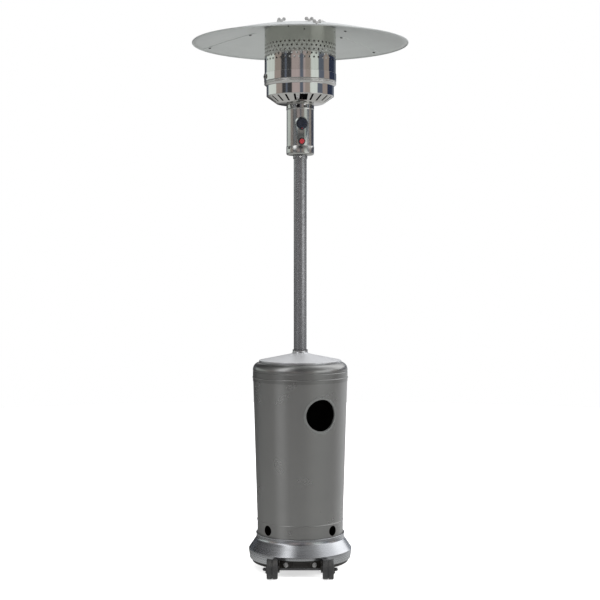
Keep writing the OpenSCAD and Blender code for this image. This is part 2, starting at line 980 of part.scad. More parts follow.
module dial_plate() {
    color("#8c948e")
        difference() {
            intersection() {
                translate([0, 0, housing_z])
                    tube(dial_r, housing_r + seat_gap, housing_h);
                rotate([0, 0, head_turn])
                    rotate([90, 0, 0])
                        linear_extrude(housing_d)
                            dial_shape();
            }
            facing(head_turn, 0, knob_z)
                cylinder(d = boss_d + 2 * seat_gap, h = housing_d);
            facing(head_turn, 0, button_z)
                cylinder(d = bezel_neck_d + 2 * seat_gap, h = housing_d);
        }
}

// Knob: a skirt and a fluted grip, bored for the stem
module control_knob() {
    skirt = knob_t * knob_skirt_share;
    grip_r = knob_r * knob_grip_share;
    color("#1b1c22")
        facing(head_turn, knob_back, knob_z)
            difference() {
                union() {
                    cylinder(r1 = knob_r, r2 = knob_r - bead_r / 2, h = skirt);
                    cylinder(r1 = grip_r, r2 = grip_r - bead_r / 2, h = knob_t);
                }
                for (i = [0 : knob_flutes - 1])
                    rotate([0, 0, (i + 0.5) * 360 / knob_flutes])
                        translate([grip_r + knob_flute_d / 3, 0, skirt])
                            cylinder(d = knob_flute_d, h = knob_t, $fn = round_fn);
                translate([0, 0, -overrun])
                    cylinder(d = stem_d + 2 * running_fit, h = skirt + overrun);
            }
}

// Mark on the knob's skirt, in the flute that looks down at rest
module knob_pointer() {
    outer = knob_r - bead_r / 2;
    color("#d92a1c")
        facing(head_turn, knob_back + knob_t * knob_skirt_share, knob_z)
            translate([-pointer_w / 2, -outer, 0])
                cube([pointer_w, outer - knob_r * knob_grip_share, pointer_t]);
}

module valve_stem() {
    color("#c9a24b")
        facing(head_turn, knob_back - stem_depth, knob_z)
            cylinder(d = stem_d, h = stem_depth + knob_t * knob_skirt_share - seat_gap);
}

// Gas valve: a block on the axis with a boss that comes out through the dial
module gas_valve() {
    color("#b8ab86")
        difference() {
            union() {
                rotate([0, 0, head_turn])
                    translate([-valve_w / 2, -valve_front, knob_z - valve_h / 2])
                        cube([valve_w, valve_front + valve_rear, valve_h]);
                facing(head_turn, valve_front - overrun, knob_z)
                    cylinder(d = boss_d, h = dial_r + boss_out - valve_front + overrun);
            }
            facing(head_turn, knob_back - stem_depth - knob_travel - sliding_fit, knob_z)
                cylinder(d = stem_d + 2 * running_fit, h = housing_d);
        }
}

valve_low = knob_z - valve_h / 2;
valve_high = knob_z + valve_h / 2;

module valve_inlet() {
    color("#c9a24b")
        translate([0, 0, valve_low - inlet_h])
            difference() {
                cylinder(d = inlet_d, h = inlet_h, $fn = 6);
                translate([0, 0, -overrun])
                    cylinder(d = riser_d + 2 * seat_gap, h = riser_seat + overrun);
                cylinder(d = riser_d - 2 * riser_wall, h = inlet_h + overrun);
            }
}

// Gas tube up through the pole, with a thicker tail below the mounting plate for the hose
module gas_riser() {
    start = plate_z - riser_tail;
    color("#c98f5a")
        translate([0, 0, start])
            difference() {
                union() {
                    cylinder(d = riser_d, h = valve_low - inlet_h + riser_seat - start);
                    cylinder(d = hose_tail_d, h = hose_tail_l);
                }
                translate([0, 0, -overrun])
                    cylinder(d = riser_d - 2 * riser_wall, h = pole_l + plate_t);
            }
}

module injector() {
    color("#c9a24b")
        translate([0, 0, valve_high])
            difference() {
                union() {
                    cylinder(d = injector_d, h = injector_h / 2, $fn = 6);
                    cylinder(d1 = injector_d * 0.8, d2 = injector_d / 2, h = injector_h);
                }
                translate([0, 0, -overrun])
                    cylinder(d = jet_d, h = injector_h + 2 * overrun);
            }
}

// Mixing tube: stands on the valve round the injector, draws air through four holes
mix_top = drum_top - bowl_depth + step_h + bowl_wall;

module mixing_tube() {
    color("#9fa1a0")
        difference() {
            translate([0, 0, valve_high])
                tube(mix_d / 2, mix_d / 2 - mix_wall, mix_top - valve_high);
            for (i = [0 : 3])
                facing(i * 90 + 45, 0, valve_high + injector_h * 2)
                    cylinder(d = mix_hole_d, h = mix_d);
        }
}

module igniter_bezel() {
    color("#1d1d20")
        facing(head_turn, dial_r + seat_gap, button_z)
            difference() {
                union() {
                    cylinder(d1 = bezel_d, d2 = bezel_d - bead_r, h = bezel_t);
                    translate([0, 0, -bezel_neck_l])
                        cylinder(d = bezel_neck_d, h = bezel_neck_l + overrun);
                }
                translate([0, 0, -bezel_neck_l - overrun])
                    cylinder(d = button_d + 2 * running_fit, h = bezel_neck_l + bezel_t + 2 * overrun);
            }
}

module igniter_button() {
    color("#c8201a")
        facing(head_turn, dial_r, button_z) {
            cylinder(d = button_d, h = bezel_t + button_out - bead_r / 2);
            translate([0, 0, bezel_t + button_out - bead_r / 2])
                cylinder(d1 = button_d, d2 = button_d - bead_r, h = bead_r / 2);
            translate([0, 0, -bezel_neck_l])
                cylinder(d = button_stem_d, h = bezel_neck_l + overrun);
        }
}

// Spark igniter behind the button, hollow for the button's stem
module piezo_igniter() {
    color("#e6e2d6")
        facing(head_turn, dial_r - bezel_neck_l - piezo_l, button_z)
            difference() {
                cylinder(d = piezo_d, h = piezo_l);
                translate([0, 0, piezo_l - button_travel - 2 * overrun])
                    cylinder(d = button_stem_d + 2 * sliding_fit, h = button_travel + 3 * overrun);
            }
}

module tilt_switch() {
    back = sqrt(pow(housing_r - housing_sheet - seat_gap, 2) - tilt_w * tilt_w / 4);
    color("#3a3c40")
        rotate([0, 0, head_turn])
            translate([-tilt_w / 2, back - tilt_t, housing_z + tilt_rise - tilt_h])
                cube([tilt_w, tilt_t, tilt_h]);
}

// Slotted cone that carries the drum and lets air in
module burner_cone() {
    reach = drum_r - cone_bottom_r;
    drum_in = drum_r - drum_sheet - seat_gap;
    path = [[cone_hole_r, cone_z], [cone_bottom_r, cone_z], [drum_in, drum_z], [drum_in, drum_z + lap]];
    color("#a9aba9")
        difference() {
            spun_sheet(path, drum_sheet);
            for (i = [0 : slot_count - 1])
                rotate([0, 0, head_turn + i * 360 / slot_count])
                    translate([-(i == 0 ? window_w : slot_w) / 2,
                        -cone_bottom_r - reach * slot_end_share, cone_z - overrun])
                        cube([i == 0 ? window_w : slot_w, reach * (slot_end_share - slot_start_share),
                            cone_h + 2 * overrun]);
        }
}

// Drum: a straight wall, a step out, two round beads and a spigot inside the screen
module burner_drum() {
    wide = screen_r + groove_depth;
    path = concat(
        [[drum_r, drum_z], [drum_r, drum_top], [wide - groove_r, ledge_z - drum_sheet]],
        arc(wide - groove_r, ledge_z + groove_r, groove_r, -60, 60, 6),
        arc(wide - groove_r, ledge_z + groove_r * 3, groove_r, -60, 60, 6),
        [[wide - groove_r, screen_z], [screen_r - screen_sheet - seat_gap, screen_z],
        [screen_r - screen_sheet - seat_gap, screen_z + spigot_h]]);
    color("#a9aba9")
        spun_sheet(path, drum_sheet);
}

// Burner: a bowl on the mixing tube, a rim on the drum's ledge, a pierced top
module burner_head() {
    rim_r = screen_r + groove_depth - 2 * groove_r - drum_sheet;
    rim_bottom = ledge_z + seat_gap;
    path = [[mix_d / 2 + seat_gap, rim_bottom - bowl_depth], [bowl_r - bowl_depth, rim_bottom - bowl_depth],
        [bowl_r, rim_bottom], [rim_r, rim_bottom]];
    lid = [[bowl_r + bowl_wall * 2, rim_bottom + bowl_wall - seat_gap],
        [bowl_r + bowl_wall * 2, rim_bottom + bowl_rise], [0, rim_bottom + bowl_rise]];
    color("#6a6a68")
        difference() {
            union() {
                spun_sheet(path, bowl_wall);
                spun_sheet(lid, bowl_wall);
            }
            for (ring = [1 : bowl_rings])
                for (i = [0 : ring * 6 - 1])
                    rotate([0, 0, i * 60 / ring])
                        bolt_hole(ring * bowl_r / (bowl_rings + 1), 0, rim_bottom + bowl_rise, bowl_hole_d);
        }
}

tray_top = ledge_z + seat_gap + bowl_wall;

module on_tray(step) {
    rotate([0, 0, head_turn + step])
        translate([0, -pilot_r, tray_top])
            children();
}

module pilot_burner() {
    color("#9fa1a0")
        on_tray(0)
            difference() {
                cylinder(d = pilot_d, h = pilot_h);
                translate([0, 0, overrun])
                    cylinder(d = pilot_d / 2, h = pilot_h);
            }
}

module thermocouple() {
    color("#b98552")
        on_tray(pilot_step)
            cylinder(d = probe_d, h = probe_h);
}

module igniter_electrode() {
    color("#e9e7df")
        on_tray(-pilot_step) {
            cylinder(d = ceramic_d, h = ceramic_h);
            cylinder(d = wire_d, h = probe_h);
        }
}

// Polished screen with staggered rows of holes near its top
module emitter_screen() {
    color("#b5b7b5")
        difference() {
            translate([0, 0, screen_z])
                tube(screen_r, screen_r - screen_sheet, screen_h);
            for (row = [0 : row_count - 1])
                for (i = [0 : hole_count - 1])
                    facing(head_turn + (i + row / 2) * 360 / hole_count, screen_r - screen_sheet - overrun,
                        screen_z + screen_h * hole_top_share - row * row_pitch)
                        cylinder(d = hole_d, h = screen_sheet + 2 * overrun, $fn = round_fn);
        }
}

module emitter_band() {
    color("#c6c8c8")
        translate([0, 0, band_z])
            tube(screen_r + band_t, screen_r + seat_gap, band_h);
}

// Clamp that closes the band: a block bolted across it
module band_clamp() {
    outside = screen_r + band_t;
    color("#8f9193") {
        difference() {
            facing(clamp_turn, screen_r, band_z + band_h / 2)
                translate([-clamp_w / 2, -clamp_h / 2, 0])
                    cube([clamp_w, clamp_h, band_t + clamp_t]);
            translate([0, 0, band_z - overrun])
                cylinder(r = outside + seat_gap, h = band_h + 2 * overrun, $fn = fine_fn);
        }
        for (side = [-1, 1])
            facing(clamp_turn, outside + clamp_t, band_z + band_h / 2)
                translate([side * clamp_w / 4, 0, 0])
                    cylinder(d = screw_head_d, h = screw_head_h, $fn = 6);
    }
}

module emitter_top() {
    rim_r = screen_r - screen_sheet - seat_gap;
    path = [[rim_r, screen_top - top_rim_h], [rim_r, screen_top], [0, screen_top]];
    color("#9fa1a0")
        difference() {
            spun_sheet(path, top_sheet);
            for (i = [0 : 2])
                rotate([0, 0, seam_turn + stud_turn + i * panel_angle])
                    bolt_hole(stud_r, 0, screen_top, bolt_d);
        }
}

// Top of the upper sheet at a radius, and how far the sheet leans out there
function dome_z(r) = rim_z + reflector_rise * (1 - pow(r / reflector_r, dome_power));
function dome_lean(r) = atan(dome_power * reflector_rise / reflector_r * pow(r / reflector_r, dome_power - 1));

// Cross-section of a dome sheet between two radii, a number of layers below the top
function dome_sheet(inner, outer, layer) =
    let (radii = [for (i = [0 : dome_steps]) inner + (outer - inner) * i / dome_steps])
    let (drop = layer * (reflector_sheet + seat_gap))
    concat([for (r = radii) [r, dome_z(r) - drop]],
        backwards([for (r = radii) [r, dome_z(r) - drop - reflector_sheet]]));

// Underside of the centre plate over a spacer, and its top beside a stud's nut
under_stud = dome_z(stud_r + spacer_d / 2) - 2 * reflector_sheet - 2 * seat_gap;
over_stud = dome_z(stud_r - nut_hub_d / 2) - reflector_sheet;

// Stands children on the upper sheet at a radius, square to it
module on_dome(r) {
    translate([r, 0, dome_z(r)])
        rotate([0, dome_lean(r), 0])
            children();
}

module reflector_studs() {
    color("#b5b7b9")
        for (i = [0 : 2])
            rotate([0, 0, seam_turn + stud_turn + i * panel_angle])
                translate([stud_r, 0, screen_top - top_sheet - bolt_head_h]) {
                    cylinder(d = bolt_head_d, h = bolt_head_h, $fn = 6);
                    cylinder(d = bolt_d, h = under_stud + stud_out - screen_top + bolt_head_h);
                }
}

module stud_spacers() {
    color("#9fa1a0")
        for (i = [0 : 2])
            rotate([0, 0, seam_turn + stud_turn + i * panel_angle])
                translate([stud_r, 0, screen_top])
                    tube(spacer_d / 2, bolt_d / 2 + seat_gap, under_stud - screen_top);
}

module reflector_holes() {
    for (i = [0 : 2])
        rotate([0, 0, seam_turn + i * panel_angle]) {
            rotate([0, 0, stud_turn])
                bolt_hole(stud_r, 0, dome_z(stud_r), bolt_d);
            rotate([0, 0, plate_bolt_turn])
                on_dome(plate_bolt_r)
                    bolt_hole(0, 0, 0, bolt_d);
            for (r = seam_bolt_radii)
                rotate([0, 0, lap_angle / 2])
                    on_dome(r)
                        bolt_hole(0, 0, 0, bolt_d);
        }
}

module reflector_centre_plate() {
    color("#c3c5c4")
        difference() {
            rotate_extrude()
                polygon(dome_sheet(0, centre_r, 1));
            reflector_holes();
        }
}

// A panel: a third of the dome with a rolled rim and a lap tucked under its neighbour
module reflector_panel(index) {
    roll_z = dome_z(reflector_r - roll_r) - reflector_sheet / 2;
    color("#c3c5c4")
        difference() {
            rotate([0, 0, seam_turn + index * panel_angle]) {
                rotate([0, 0, seam_gap_angle])
                    rotate_extrude(angle = panel_angle - seam_gap_angle) {
                        polygon(dome_sheet(panel_inner_r, reflector_r - roll_r, 0));
                        translate([reflector_r - roll_r, roll_z])
                            circle(r = roll_r, $fn = round_fn);
                    }
                rotate([0, 0, panel_angle - lap_angle / 2]) {
                    rotate_extrude(angle = lap_angle / 3)
                        polygon(dome_sheet(centre_r + overrun, reflector_r - 3 * roll_r, 0.5));
                    rotate_extrude(angle = lap_angle * 3 / 2)
                        polygon(dome_sheet(centre_r + overrun, reflector_r - 3 * roll_r, 1));
                }
            }
            reflector_holes();
        }
}

module reflector_panel_back() {
    reflector_panel(0);
}

module reflector_panel_left() {
    reflector_panel(1);
}

module reflector_panel_right() {
    reflector_panel(2);
}

// Wing nut standing on z = 0, bored for a bolt
module wing_nut() {
    difference() {
        union() {
            cylinder(d1 = nut_hub_d, d2 = nut_hub_d * 0.8, h = nut_hub_h);
            for (side = [-1, 1])
                translate([side * wing_out, -wing_t / 2, nut_hub_h])
                    rotate([-90, 0, 0])
                        cylinder(r = wing_r, h = wing_t, $fn = round_fn);
        }
        translate([0, 0, -overrun])
            cylinder(d = bolt_d + thread_gap, h = nut_hub_h * 3);
    }
}

// A round-headed bolt through both sheets from below, and its wing nut above
module wing_bolt(r) {
    under = -2 * reflector_sheet - seat_gap - sliding_fit;
    on_dome(r) {
        translate([0, 0, under - bolt_head_h / 2])
            cylinder(d = bolt_head_d, h = bolt_head_h / 2);
        translate([0, 0, under])
            cylinder(d = bolt_d, h = nut_hub_h + sliding_fit - under);
        translate([0, 0, sliding_fit])
            rotate([0, 0, 90])
                wing_nut();
    }
}

module panel_fasteners() {
    color("#4a4c4e")
        for (i = [0 : 2])
            rotate([0, 0, seam_turn + i * panel_angle]) {
                rotate([0, 0, stud_turn])
                    translate([stud_r, 0, over_stud])
                        wing_nut();
                rotate([0, 0, plate_bolt_turn])
                    wing_bolt(plate_bolt_r);
                for (r = seam_bolt_radii)
                    rotate([0, 0, lap_angle / 2])
                        wing_bolt(r);
            }
}

base_plate();
base_feet();
base_trim_ring();
wheel_brackets();
bracket_bolts();
wheel_axle();
axle_nuts();
wheel_left();
wheel_right();
leg_left();
leg_right();
leg_back();
leg_bolts();
top_mount_plate();
pole_flange();
flange_bolts();
pole();
pole_screws();
pole_collar();
collar_screw();
cylinder_cover();
cover_shoulder();
cover_lid();
lid_bush();
lid_screws();
access_hole_trim();
housing_cap();
cap_screws();
control_housing();
vent_collar();
dial_plate();
control_knob();
knob_pointer();
valve_stem();
gas_valve();
valve_inlet();
gas_riser();
injector();
mixing_tube();
igniter_bezel();
igniter_button();
piezo_igniter();
tilt_switch();
burner_cone();
burner_drum();
burner_head();
pilot_burner();
thermocouple();
igniter_electrode();
emitter_screen();
emitter_band();
band_clamp();
emitter_top();
reflector_studs();
stud_spacers();
reflector_centre_plate();
reflector_panel_right();
reflector_panel_left();
reflector_panel_back();
panel_fasteners();
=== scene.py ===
import bpy
import math
from mathutils import Matrix, Vector


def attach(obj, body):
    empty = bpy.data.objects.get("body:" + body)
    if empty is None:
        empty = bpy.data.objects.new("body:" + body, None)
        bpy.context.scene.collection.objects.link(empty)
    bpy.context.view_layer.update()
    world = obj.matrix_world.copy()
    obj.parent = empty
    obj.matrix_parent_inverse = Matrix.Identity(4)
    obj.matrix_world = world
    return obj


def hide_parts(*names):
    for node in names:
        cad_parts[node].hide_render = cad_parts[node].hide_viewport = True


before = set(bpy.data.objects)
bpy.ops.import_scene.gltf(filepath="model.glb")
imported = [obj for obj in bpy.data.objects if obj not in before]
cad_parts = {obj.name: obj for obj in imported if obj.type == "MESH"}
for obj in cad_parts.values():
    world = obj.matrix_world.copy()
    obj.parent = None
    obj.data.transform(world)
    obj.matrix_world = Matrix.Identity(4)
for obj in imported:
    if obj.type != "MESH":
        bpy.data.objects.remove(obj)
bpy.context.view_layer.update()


# The head, with its dial, cap screws and slots, is turned so many degrees to the right of the front
headTurn = 6.5


# The steps that shape a piece, as by hand
def deselectAll():
    if bpy.context.object and bpy.context.object.mode != "OBJECT":
        bpy.ops.object.mode_set(mode="OBJECT")
    bpy.ops.object.select_all(action="DESELECT")


def takeUp(piece):
    deselectAll()
    bpy.context.view_layer.objects.active = piece
    piece.select_set(True)
    return piece


def editPiece(piece):
    takeUp(piece)
    bpy.ops.object.mode_set(mode="EDIT")


def backToObject():
    bpy.ops.object.mode_set(mode="OBJECT")


def selectAll():
    bpy.ops.mesh.select_all(action="SELECT")


def selectNone():
    bpy.ops.mesh.select_all(action="DESELECT")


def faceOutwards():
    selectAll()
    bpy.ops.mesh.normals_make_consistent(inside=False)
    backToObject()


def extrudeBy(x, y, z):
    bpy.ops.mesh.extrude_region_move(TRANSFORM_OT_translate={"value": (x, y, z)})


def widenBy(share, height):
    bpy.ops.transform.resize(value=(share, share, 1), center_override=(0, 0, height))


def flip(piece):
    editPiece(piece)
    selectAll()
    bpy.ops.mesh.flip_normals()
    backToObject()


def turnBy(degrees, axis="Z"):
    return Matrix.Rotation(math.radians(degrees), 4, axis)


def shiftBy(x, y, z):
    return Matrix.Translation((x, y, z))


def named(name):
    piece = bpy.context.object
    piece.name = name
    piece.data.name = name
    bpy.ops.object.transform_apply(location=True, rotation=True, scale=True)
    return piece


def pick(piece, kind, test):
    # picks the vertices, edges or faces whose middle passes the test
    takeUp(piece)
    bpy.context.tool_settings.mesh_select_mode = (kind == "VERT", kind == "EDGE", kind == "FACE")
    mesh = piece.data
    for part in (mesh.vertices, mesh.edges, mesh.polygons):
        part.foreach_set("select", [False] * len(part))
    if kind == "VERT":
        chosen = [v for v in mesh.vertices if test(v.co)]
    elif kind == "EDGE":
        chosen = [e for e in mesh.edges if all(test(mesh.vertices[i].co) for i in e.vertices)]
    else:
        chosen = [f for f in mesh.polygons if test(f.center)]
    for item in chosen:
        item.select = True
    bpy.ops.object.mode_set(mode="EDIT")
    return len(chosen)


def cutAway(piece, test):
    pick(piece, "FACE", test)
    bpy.ops.mesh.delete(type="FACE")
    backToObject()


def read(table, *names):
    return [table[name] for name in names]


def addModifier(piece, kind, **settings):
    takeUp(piece)
    modifier = piece.modifiers.new(kind.lower(), kind)
    for key, value in settings.items():
        setattr(modifier, key, value)
    bpy.ops.object.modifier_apply(modifier=modifier.name)


def smooth(piece, angle=32):
    takeUp(piece)
    bpy.ops.object.shade_smooth_by_angle(angle=math.radians(angle))


def softEdges(piece, width, segments=2, angle=35):
    addModifier(piece, "BEVEL", width=width, segments=segments, limit_method="ANGLE",
                angle_limit=math.radians(angle), use_clamp_overlap=True, miter_outer="MITER_ARC")


def arcPoints(x, y, radius, start, end, steps):
    turns = [math.radians(start + (end - start) * i / steps) for i in range(steps + 1)]
    return [(x + radius * math.cos(t), y + radius * math.sin(t)) for t in turns]


def raiseRings(path):
    # carries the picked ring along the path, one extrusion for each step
    for (r1, z1), (r2, z2) in zip(path, path[1:]):
        extrudeBy(0, 0, z2 - z1)
        if r2 == 0:
            bpy.ops.mesh.merge(type="CENTER")
        elif abs(r2 - r1) > 1e-9:
            widenBy(r2 / r1, z2)


def startRing(name, radius, height, sides, turnedBy, fill="NOTHING"):
    deselectAll()
    bpy.ops.mesh.primitive_circle_add(vertices=sides, radius=radius, fill_type=fill,
                                      location=(0, 0, height), rotation=(0, 0, turnedBy))
    piece = named(name)
    bpy.ops.object.mode_set(mode="EDIT")
    bpy.ops.mesh.select_mode(type="EDGE")
    selectNone()
    bpy.ops.mesh.select_non_manifold()
    if fill == "NOTHING":
        selectAll()
    return piece


def spunSheet(name, path, wall, sides=128, turnedBy=0.0, lining=0):
    # the path is the outside face, and the sheet's thickness lies on its left
    piece = startRing(name, path[0][0], path[0][1], sides, turnedBy)
    raiseRings(path)
    faceOutwards()
    face = piece.data.polygons[0]
    (r1, z1), (r2, z2) = path[0], path[1]
    outward = Vector((face.center.x, face.center.y, 0)).normalized() * (z2 - z1) + Vector((0, 0, r1 - r2))
    if face.normal.dot(outward) < 0:
        flip(piece)
    if wall:
        thicken(piece, wall, lining)
    return piece


def thicken(piece, wall, lining=0):
    addModifier(piece, "SOLIDIFY", thickness=wall, offset=-1, use_even_offset=True,
                use_quality_normals=True, material_offset=lining)


def turnedSolid(name, path, sides=64, turnedBy=0.0):
    # a closed section when it stays off the axis, otherwise a solid that starts and ends on it
    onAxis = path[0][0] == 0
    ring = path[1:] if onAxis else path
    piece = startRing(name, ring[0][0], ring[0][1], sides, turnedBy, "TRIFAN" if onAxis else "NOTHING")
    raiseRings(ring)
    if not onAxis:
        selectNone()
        bpy.ops.mesh.select_non_manifold()
        bpy.ops.mesh.bridge_edge_loops()
    faceOutwards()
    return piece


def place(piece, matrix):
    takeUp(piece)
    piece.matrix_world = matrix
    bpy.ops.object.transform_apply(location=True, rotation=True, scale=True)
    return piece


def facingFront(turn, radius, height):
    # local Z looks out of the heater, turned to the right of the front by so many degrees
    return turnBy(turn) @ shiftBy(0, -radius, height) @ turnBy(90, "X")


def bearingOf(co):
    # degrees to the right of the front
    return math.degrees(math.atan2(co.x, -co.y))


def copyOf(piece, name, matrix):
    takeUp(piece)
    bpy.ops.object.duplicate(linked=False)
    twin = bpy.context.object
    twin.name = name
    twin.data.name = name
    return place(twin, matrix)


def gather(pieces, name):
    deselectAll()
    for piece in pieces:
        piece.select_set(True)
    bpy.context.view_layer.objects.active = pieces[0]
    if len(pieces) > 1:
        bpy.ops.object.join()
    pieces[0].name = name
    pieces[0].data.name = name
    return pieces[0]


def repeated(pattern, name, matrices):
    copies = [copyOf(pattern, name + str(k), matrix) for k, matrix in enumerate(matrices)]
    bpy.data.objects.remove(pattern)
    return gather(copies, name)


def combine(piece, other, operation):
    addModifier(piece, "BOOLEAN", object=other, operation=operation, solver="EXACT")
    bpy.data.objects.remove(other)


def cutOut(piece, cutters):
    combine(piece, gather(cutters, "cutters"), "DIFFERENCE")


def boxAt(name, size, matrix):
    deselectAll()
    bpy.ops.mesh.primitive_cube_add(size=1, scale=size)
    return place(named(name), matrix)


def rodAt(name, radius, depth, matrix, sides=48):
    deselectAll()
    bpy.ops.mesh.primitive_cylinder_add(vertices=sides, radius=radius, depth=depth)
    return place(named(name), matrix)


def dress(piece, *looks):
    for look in looks:
        piece.data.materials.append(finishes[look])


def mount(piece, body, nodeName, slotName, *looks):
    dress(piece, *looks)
    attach(piece, body)
    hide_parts(nodeName)
    print("made", piece.name, len(piece.data.polygons), "faces")
    return piece


# The camera of the photograph
view = {"distance": 5.096, "height": 1.2, "pitchDown": 1.674, "lens": 78, "sideways": -0.0008}
bpy.ops.object.camera_add(location=(view["sideways"], -view["distance"], view["height"]),
                          rotation=(math.radians(90 - view["pitchDown"]), 0, 0))
camera = bpy.context.object
camera.name = "photoCamera"
camera.data.lens = view["lens"]
camera.data.sensor_width = 36
camera.data.clip_end = 60
bpy.context.scene.camera = camera
bpy.context.scene.view_settings.view_transform = "Standard"
bpy.context.scene.view_settings.look = "None"


def softLight(name, place, aim, width, height, power, mirrored=False):
    bpy.ops.object.light_add(type="AREA", location=place)
    lamp = bpy.context.object
    lamp.name = name
    lamp.data.shape = "RECTANGLE"
    lamp.data.size = width
    lamp.data.size_y = height
    lamp.data.energy = power
    lamp.rotation_euler = (Vector(aim) - Vector(place)).to_track_quat("-Z", "Y").to_euler()
    lamp.visible_glossy = mirrored
    return lamp


lights = {
    "rightBox": dict(place=(3.4, -1.2, 1.9), aim=(0, 0, 0.8), width=1.2, height=2.4, power=95),
    "leftStrip": dict(place=(-2.6, -3.0, 1.5), aim=(0, 0, 0.7), width=0.5, height=2.2, power=42),
    "overhead": dict(place=(0.4, -1.0, 4.4), aim=(0, 0, 1.6), width=2.6, height=2.6, power=110),
    # only the pole mirrors this strip, since the head sees above it and the cover below it
    "poleStrip": dict(place=(2.05, -1.25, 1.3), aim=(0, 0, 1.3), width=1.9, height=0.9, power=5.0,
                      mirrored=True),
}
for lampName, settings in lights.items():
    softLight(lampName, **settings)


def node(tree, kind, **settings):
    made = tree.nodes.new(kind)
    for key, value in settings.items():
        setattr(made, key, value)
    return made


def wire(tree, source, target):
    tree.links.new(source, target)


def maths(tree, operation, first, second=None, clamp=False):
    made = node(tree, "ShaderNodeMath", operation=operation, use_clamp=clamp)
    for socket, value in zip(made.inputs, (first, second)):
        if value is None:
            continue
        if isinstance(value, (int, float)):
            socket.default_value = value
        else:
            wire(tree, value, socket)
    return made.outputs[0]


def times(tree, first, second, clamp=False):
    return maths(tree, "MULTIPLY", first, second, clamp)


def rampOf(tree, factor, stops, interpolation="LINEAR"):
    ramp = node(tree, "ShaderNodeValToRGB")
    ramp.color_ramp.interpolation = interpolation
    elements = ramp.color_ramp.elements
    while len(elements) < len(stops):
        elements.new(0.5)
    for element, (position, colour) in zip(elements, stops):
        element.position = position
        element.color = (*colour, 1) if len(colour) == 3 else colour
    wire(tree, factor, ramp.inputs[0])
    return ramp.outputs[0]


def splitOf(tree, vector):
    parts = node(tree, "ShaderNodeSeparateXYZ")
    wire(tree, vector, parts.inputs[0])
    return parts.outputs


def joined(tree, x, y, z):
    join = node(tree, "ShaderNodeCombineXYZ")
    for socket, value in zip(join.inputs, (x, y, z)):
        wire(tree, value, socket)
    return join.outputs[0]


def pointOf(tree):
    # where a point lies on the heater, in metres
    return node(tree, "ShaderNodeTexCoord").outputs["Object"]


def facingOf(tree):
    return splitOf(tree, node(tree, "ShaderNodeNewGeometry").outputs["Normal"])["Z"]


def tint(tree, factor, first, second):
    blend = node(tree, "ShaderNodeMix", data_type="RGBA")
    for label, value in (("A", first), ("B", second)):
        if isinstance(value, tuple):
            blend.inputs[label].default_value = (*value, 1)
        else:
            wire(tree, value, blend.inputs[label])
    if isinstance(factor, (int, float)):
        blend.inputs["Factor"].default_value = factor
    else:
        wire(tree, factor, blend.inputs["Factor"])
    return blend.outputs["Result"]


# What the metal mirrors, by bearing from the front: the polished head looks slightly up at sharp cards and
# walls, the cover slightly down at soft ones, and the lid, the flare and the shoulder high up at soft boxes
surroundings = {
    "whiteCard": (0.74, 0.80, 0.76), "warmWall": (0.36, 0.31, 0.28), "darkFlag": (0.055, 0.057, 0.06),
    "rosyWall": (0.46, 0.39, 0.38), "slate": (0.13, 0.15, 0.19), "navy": (0.03, 0.04, 0.075),
    "black": (0.03, 0.03, 0.032), "dim": (0.11, 0.11, 0.112), "shade": (0.20, 0.20, 0.20),
    "grey": (0.30, 0.30, 0.295), "soft": (0.39, 0.39, 0.395), "light": (0.52, 0.52, 0.525),
    "pale": (0.63, 0.64, 0.65), "bright": (0.86, 0.87, 0.89), "box": (1.6, 1.61, 1.63),
    "ceiling": (0.55, 0.55, 0.56), "ground": (0.46, 0.465, 0.455), "fill": (0.80, 0.80, 0.80),
    "paper": (1, 1, 1),
    # fill is what rough paint gathers from all sides, paper is what the camera sees behind the heater
    # bearing in degrees at which each one starts, to the left as minus
    "sharp": [(-180, "darkFlag"), (-150, "slate"), (-138, "whiteCard"), (-90, "warmWall"),
              (-64, "darkFlag"), (-50, "slate"), (-44, "darkFlag"), (-28, "rosyWall"), (-1, "slate"),
              (10, "rosyWall"), (17, "warmWall"), (34, "whiteCard"), (61, "slate"), (82, "warmWall"),
              (106, "navy"), (140, "slate")],
    "low": [(-180, "black"), (-128, "dim"), (-62, "soft"), (-38, "dim"), (20, "shade"), (104, "soft"),
            (124, "pale"), (165, "light")],
    "high": [(-180, "bright"), (-164, "black"), (-126, "dim"), (-96, "shade"), (-62, "box"), (-34, "shade"),
             (-14, "black"), (14, "shade"), (44, "grey"), (70, "bright"), (108, "box"), (150, "bright")],
    "sharpBlur": 2.2, "lowBlur": 12.0, "highBlur": 12.0,
}


def bandStops(kind):
    stops, last, blur = [], None, surroundings[kind + "Blur"]
    for start, name in surroundings[kind]:
        position = (start + 180) / 360
        if last is not None:
            stops.append((position - blur / 720, surroundings[last]))
        stops.append((position + blur / 720 if last else 0.0, surroundings[name]))
        last = name
    return stops


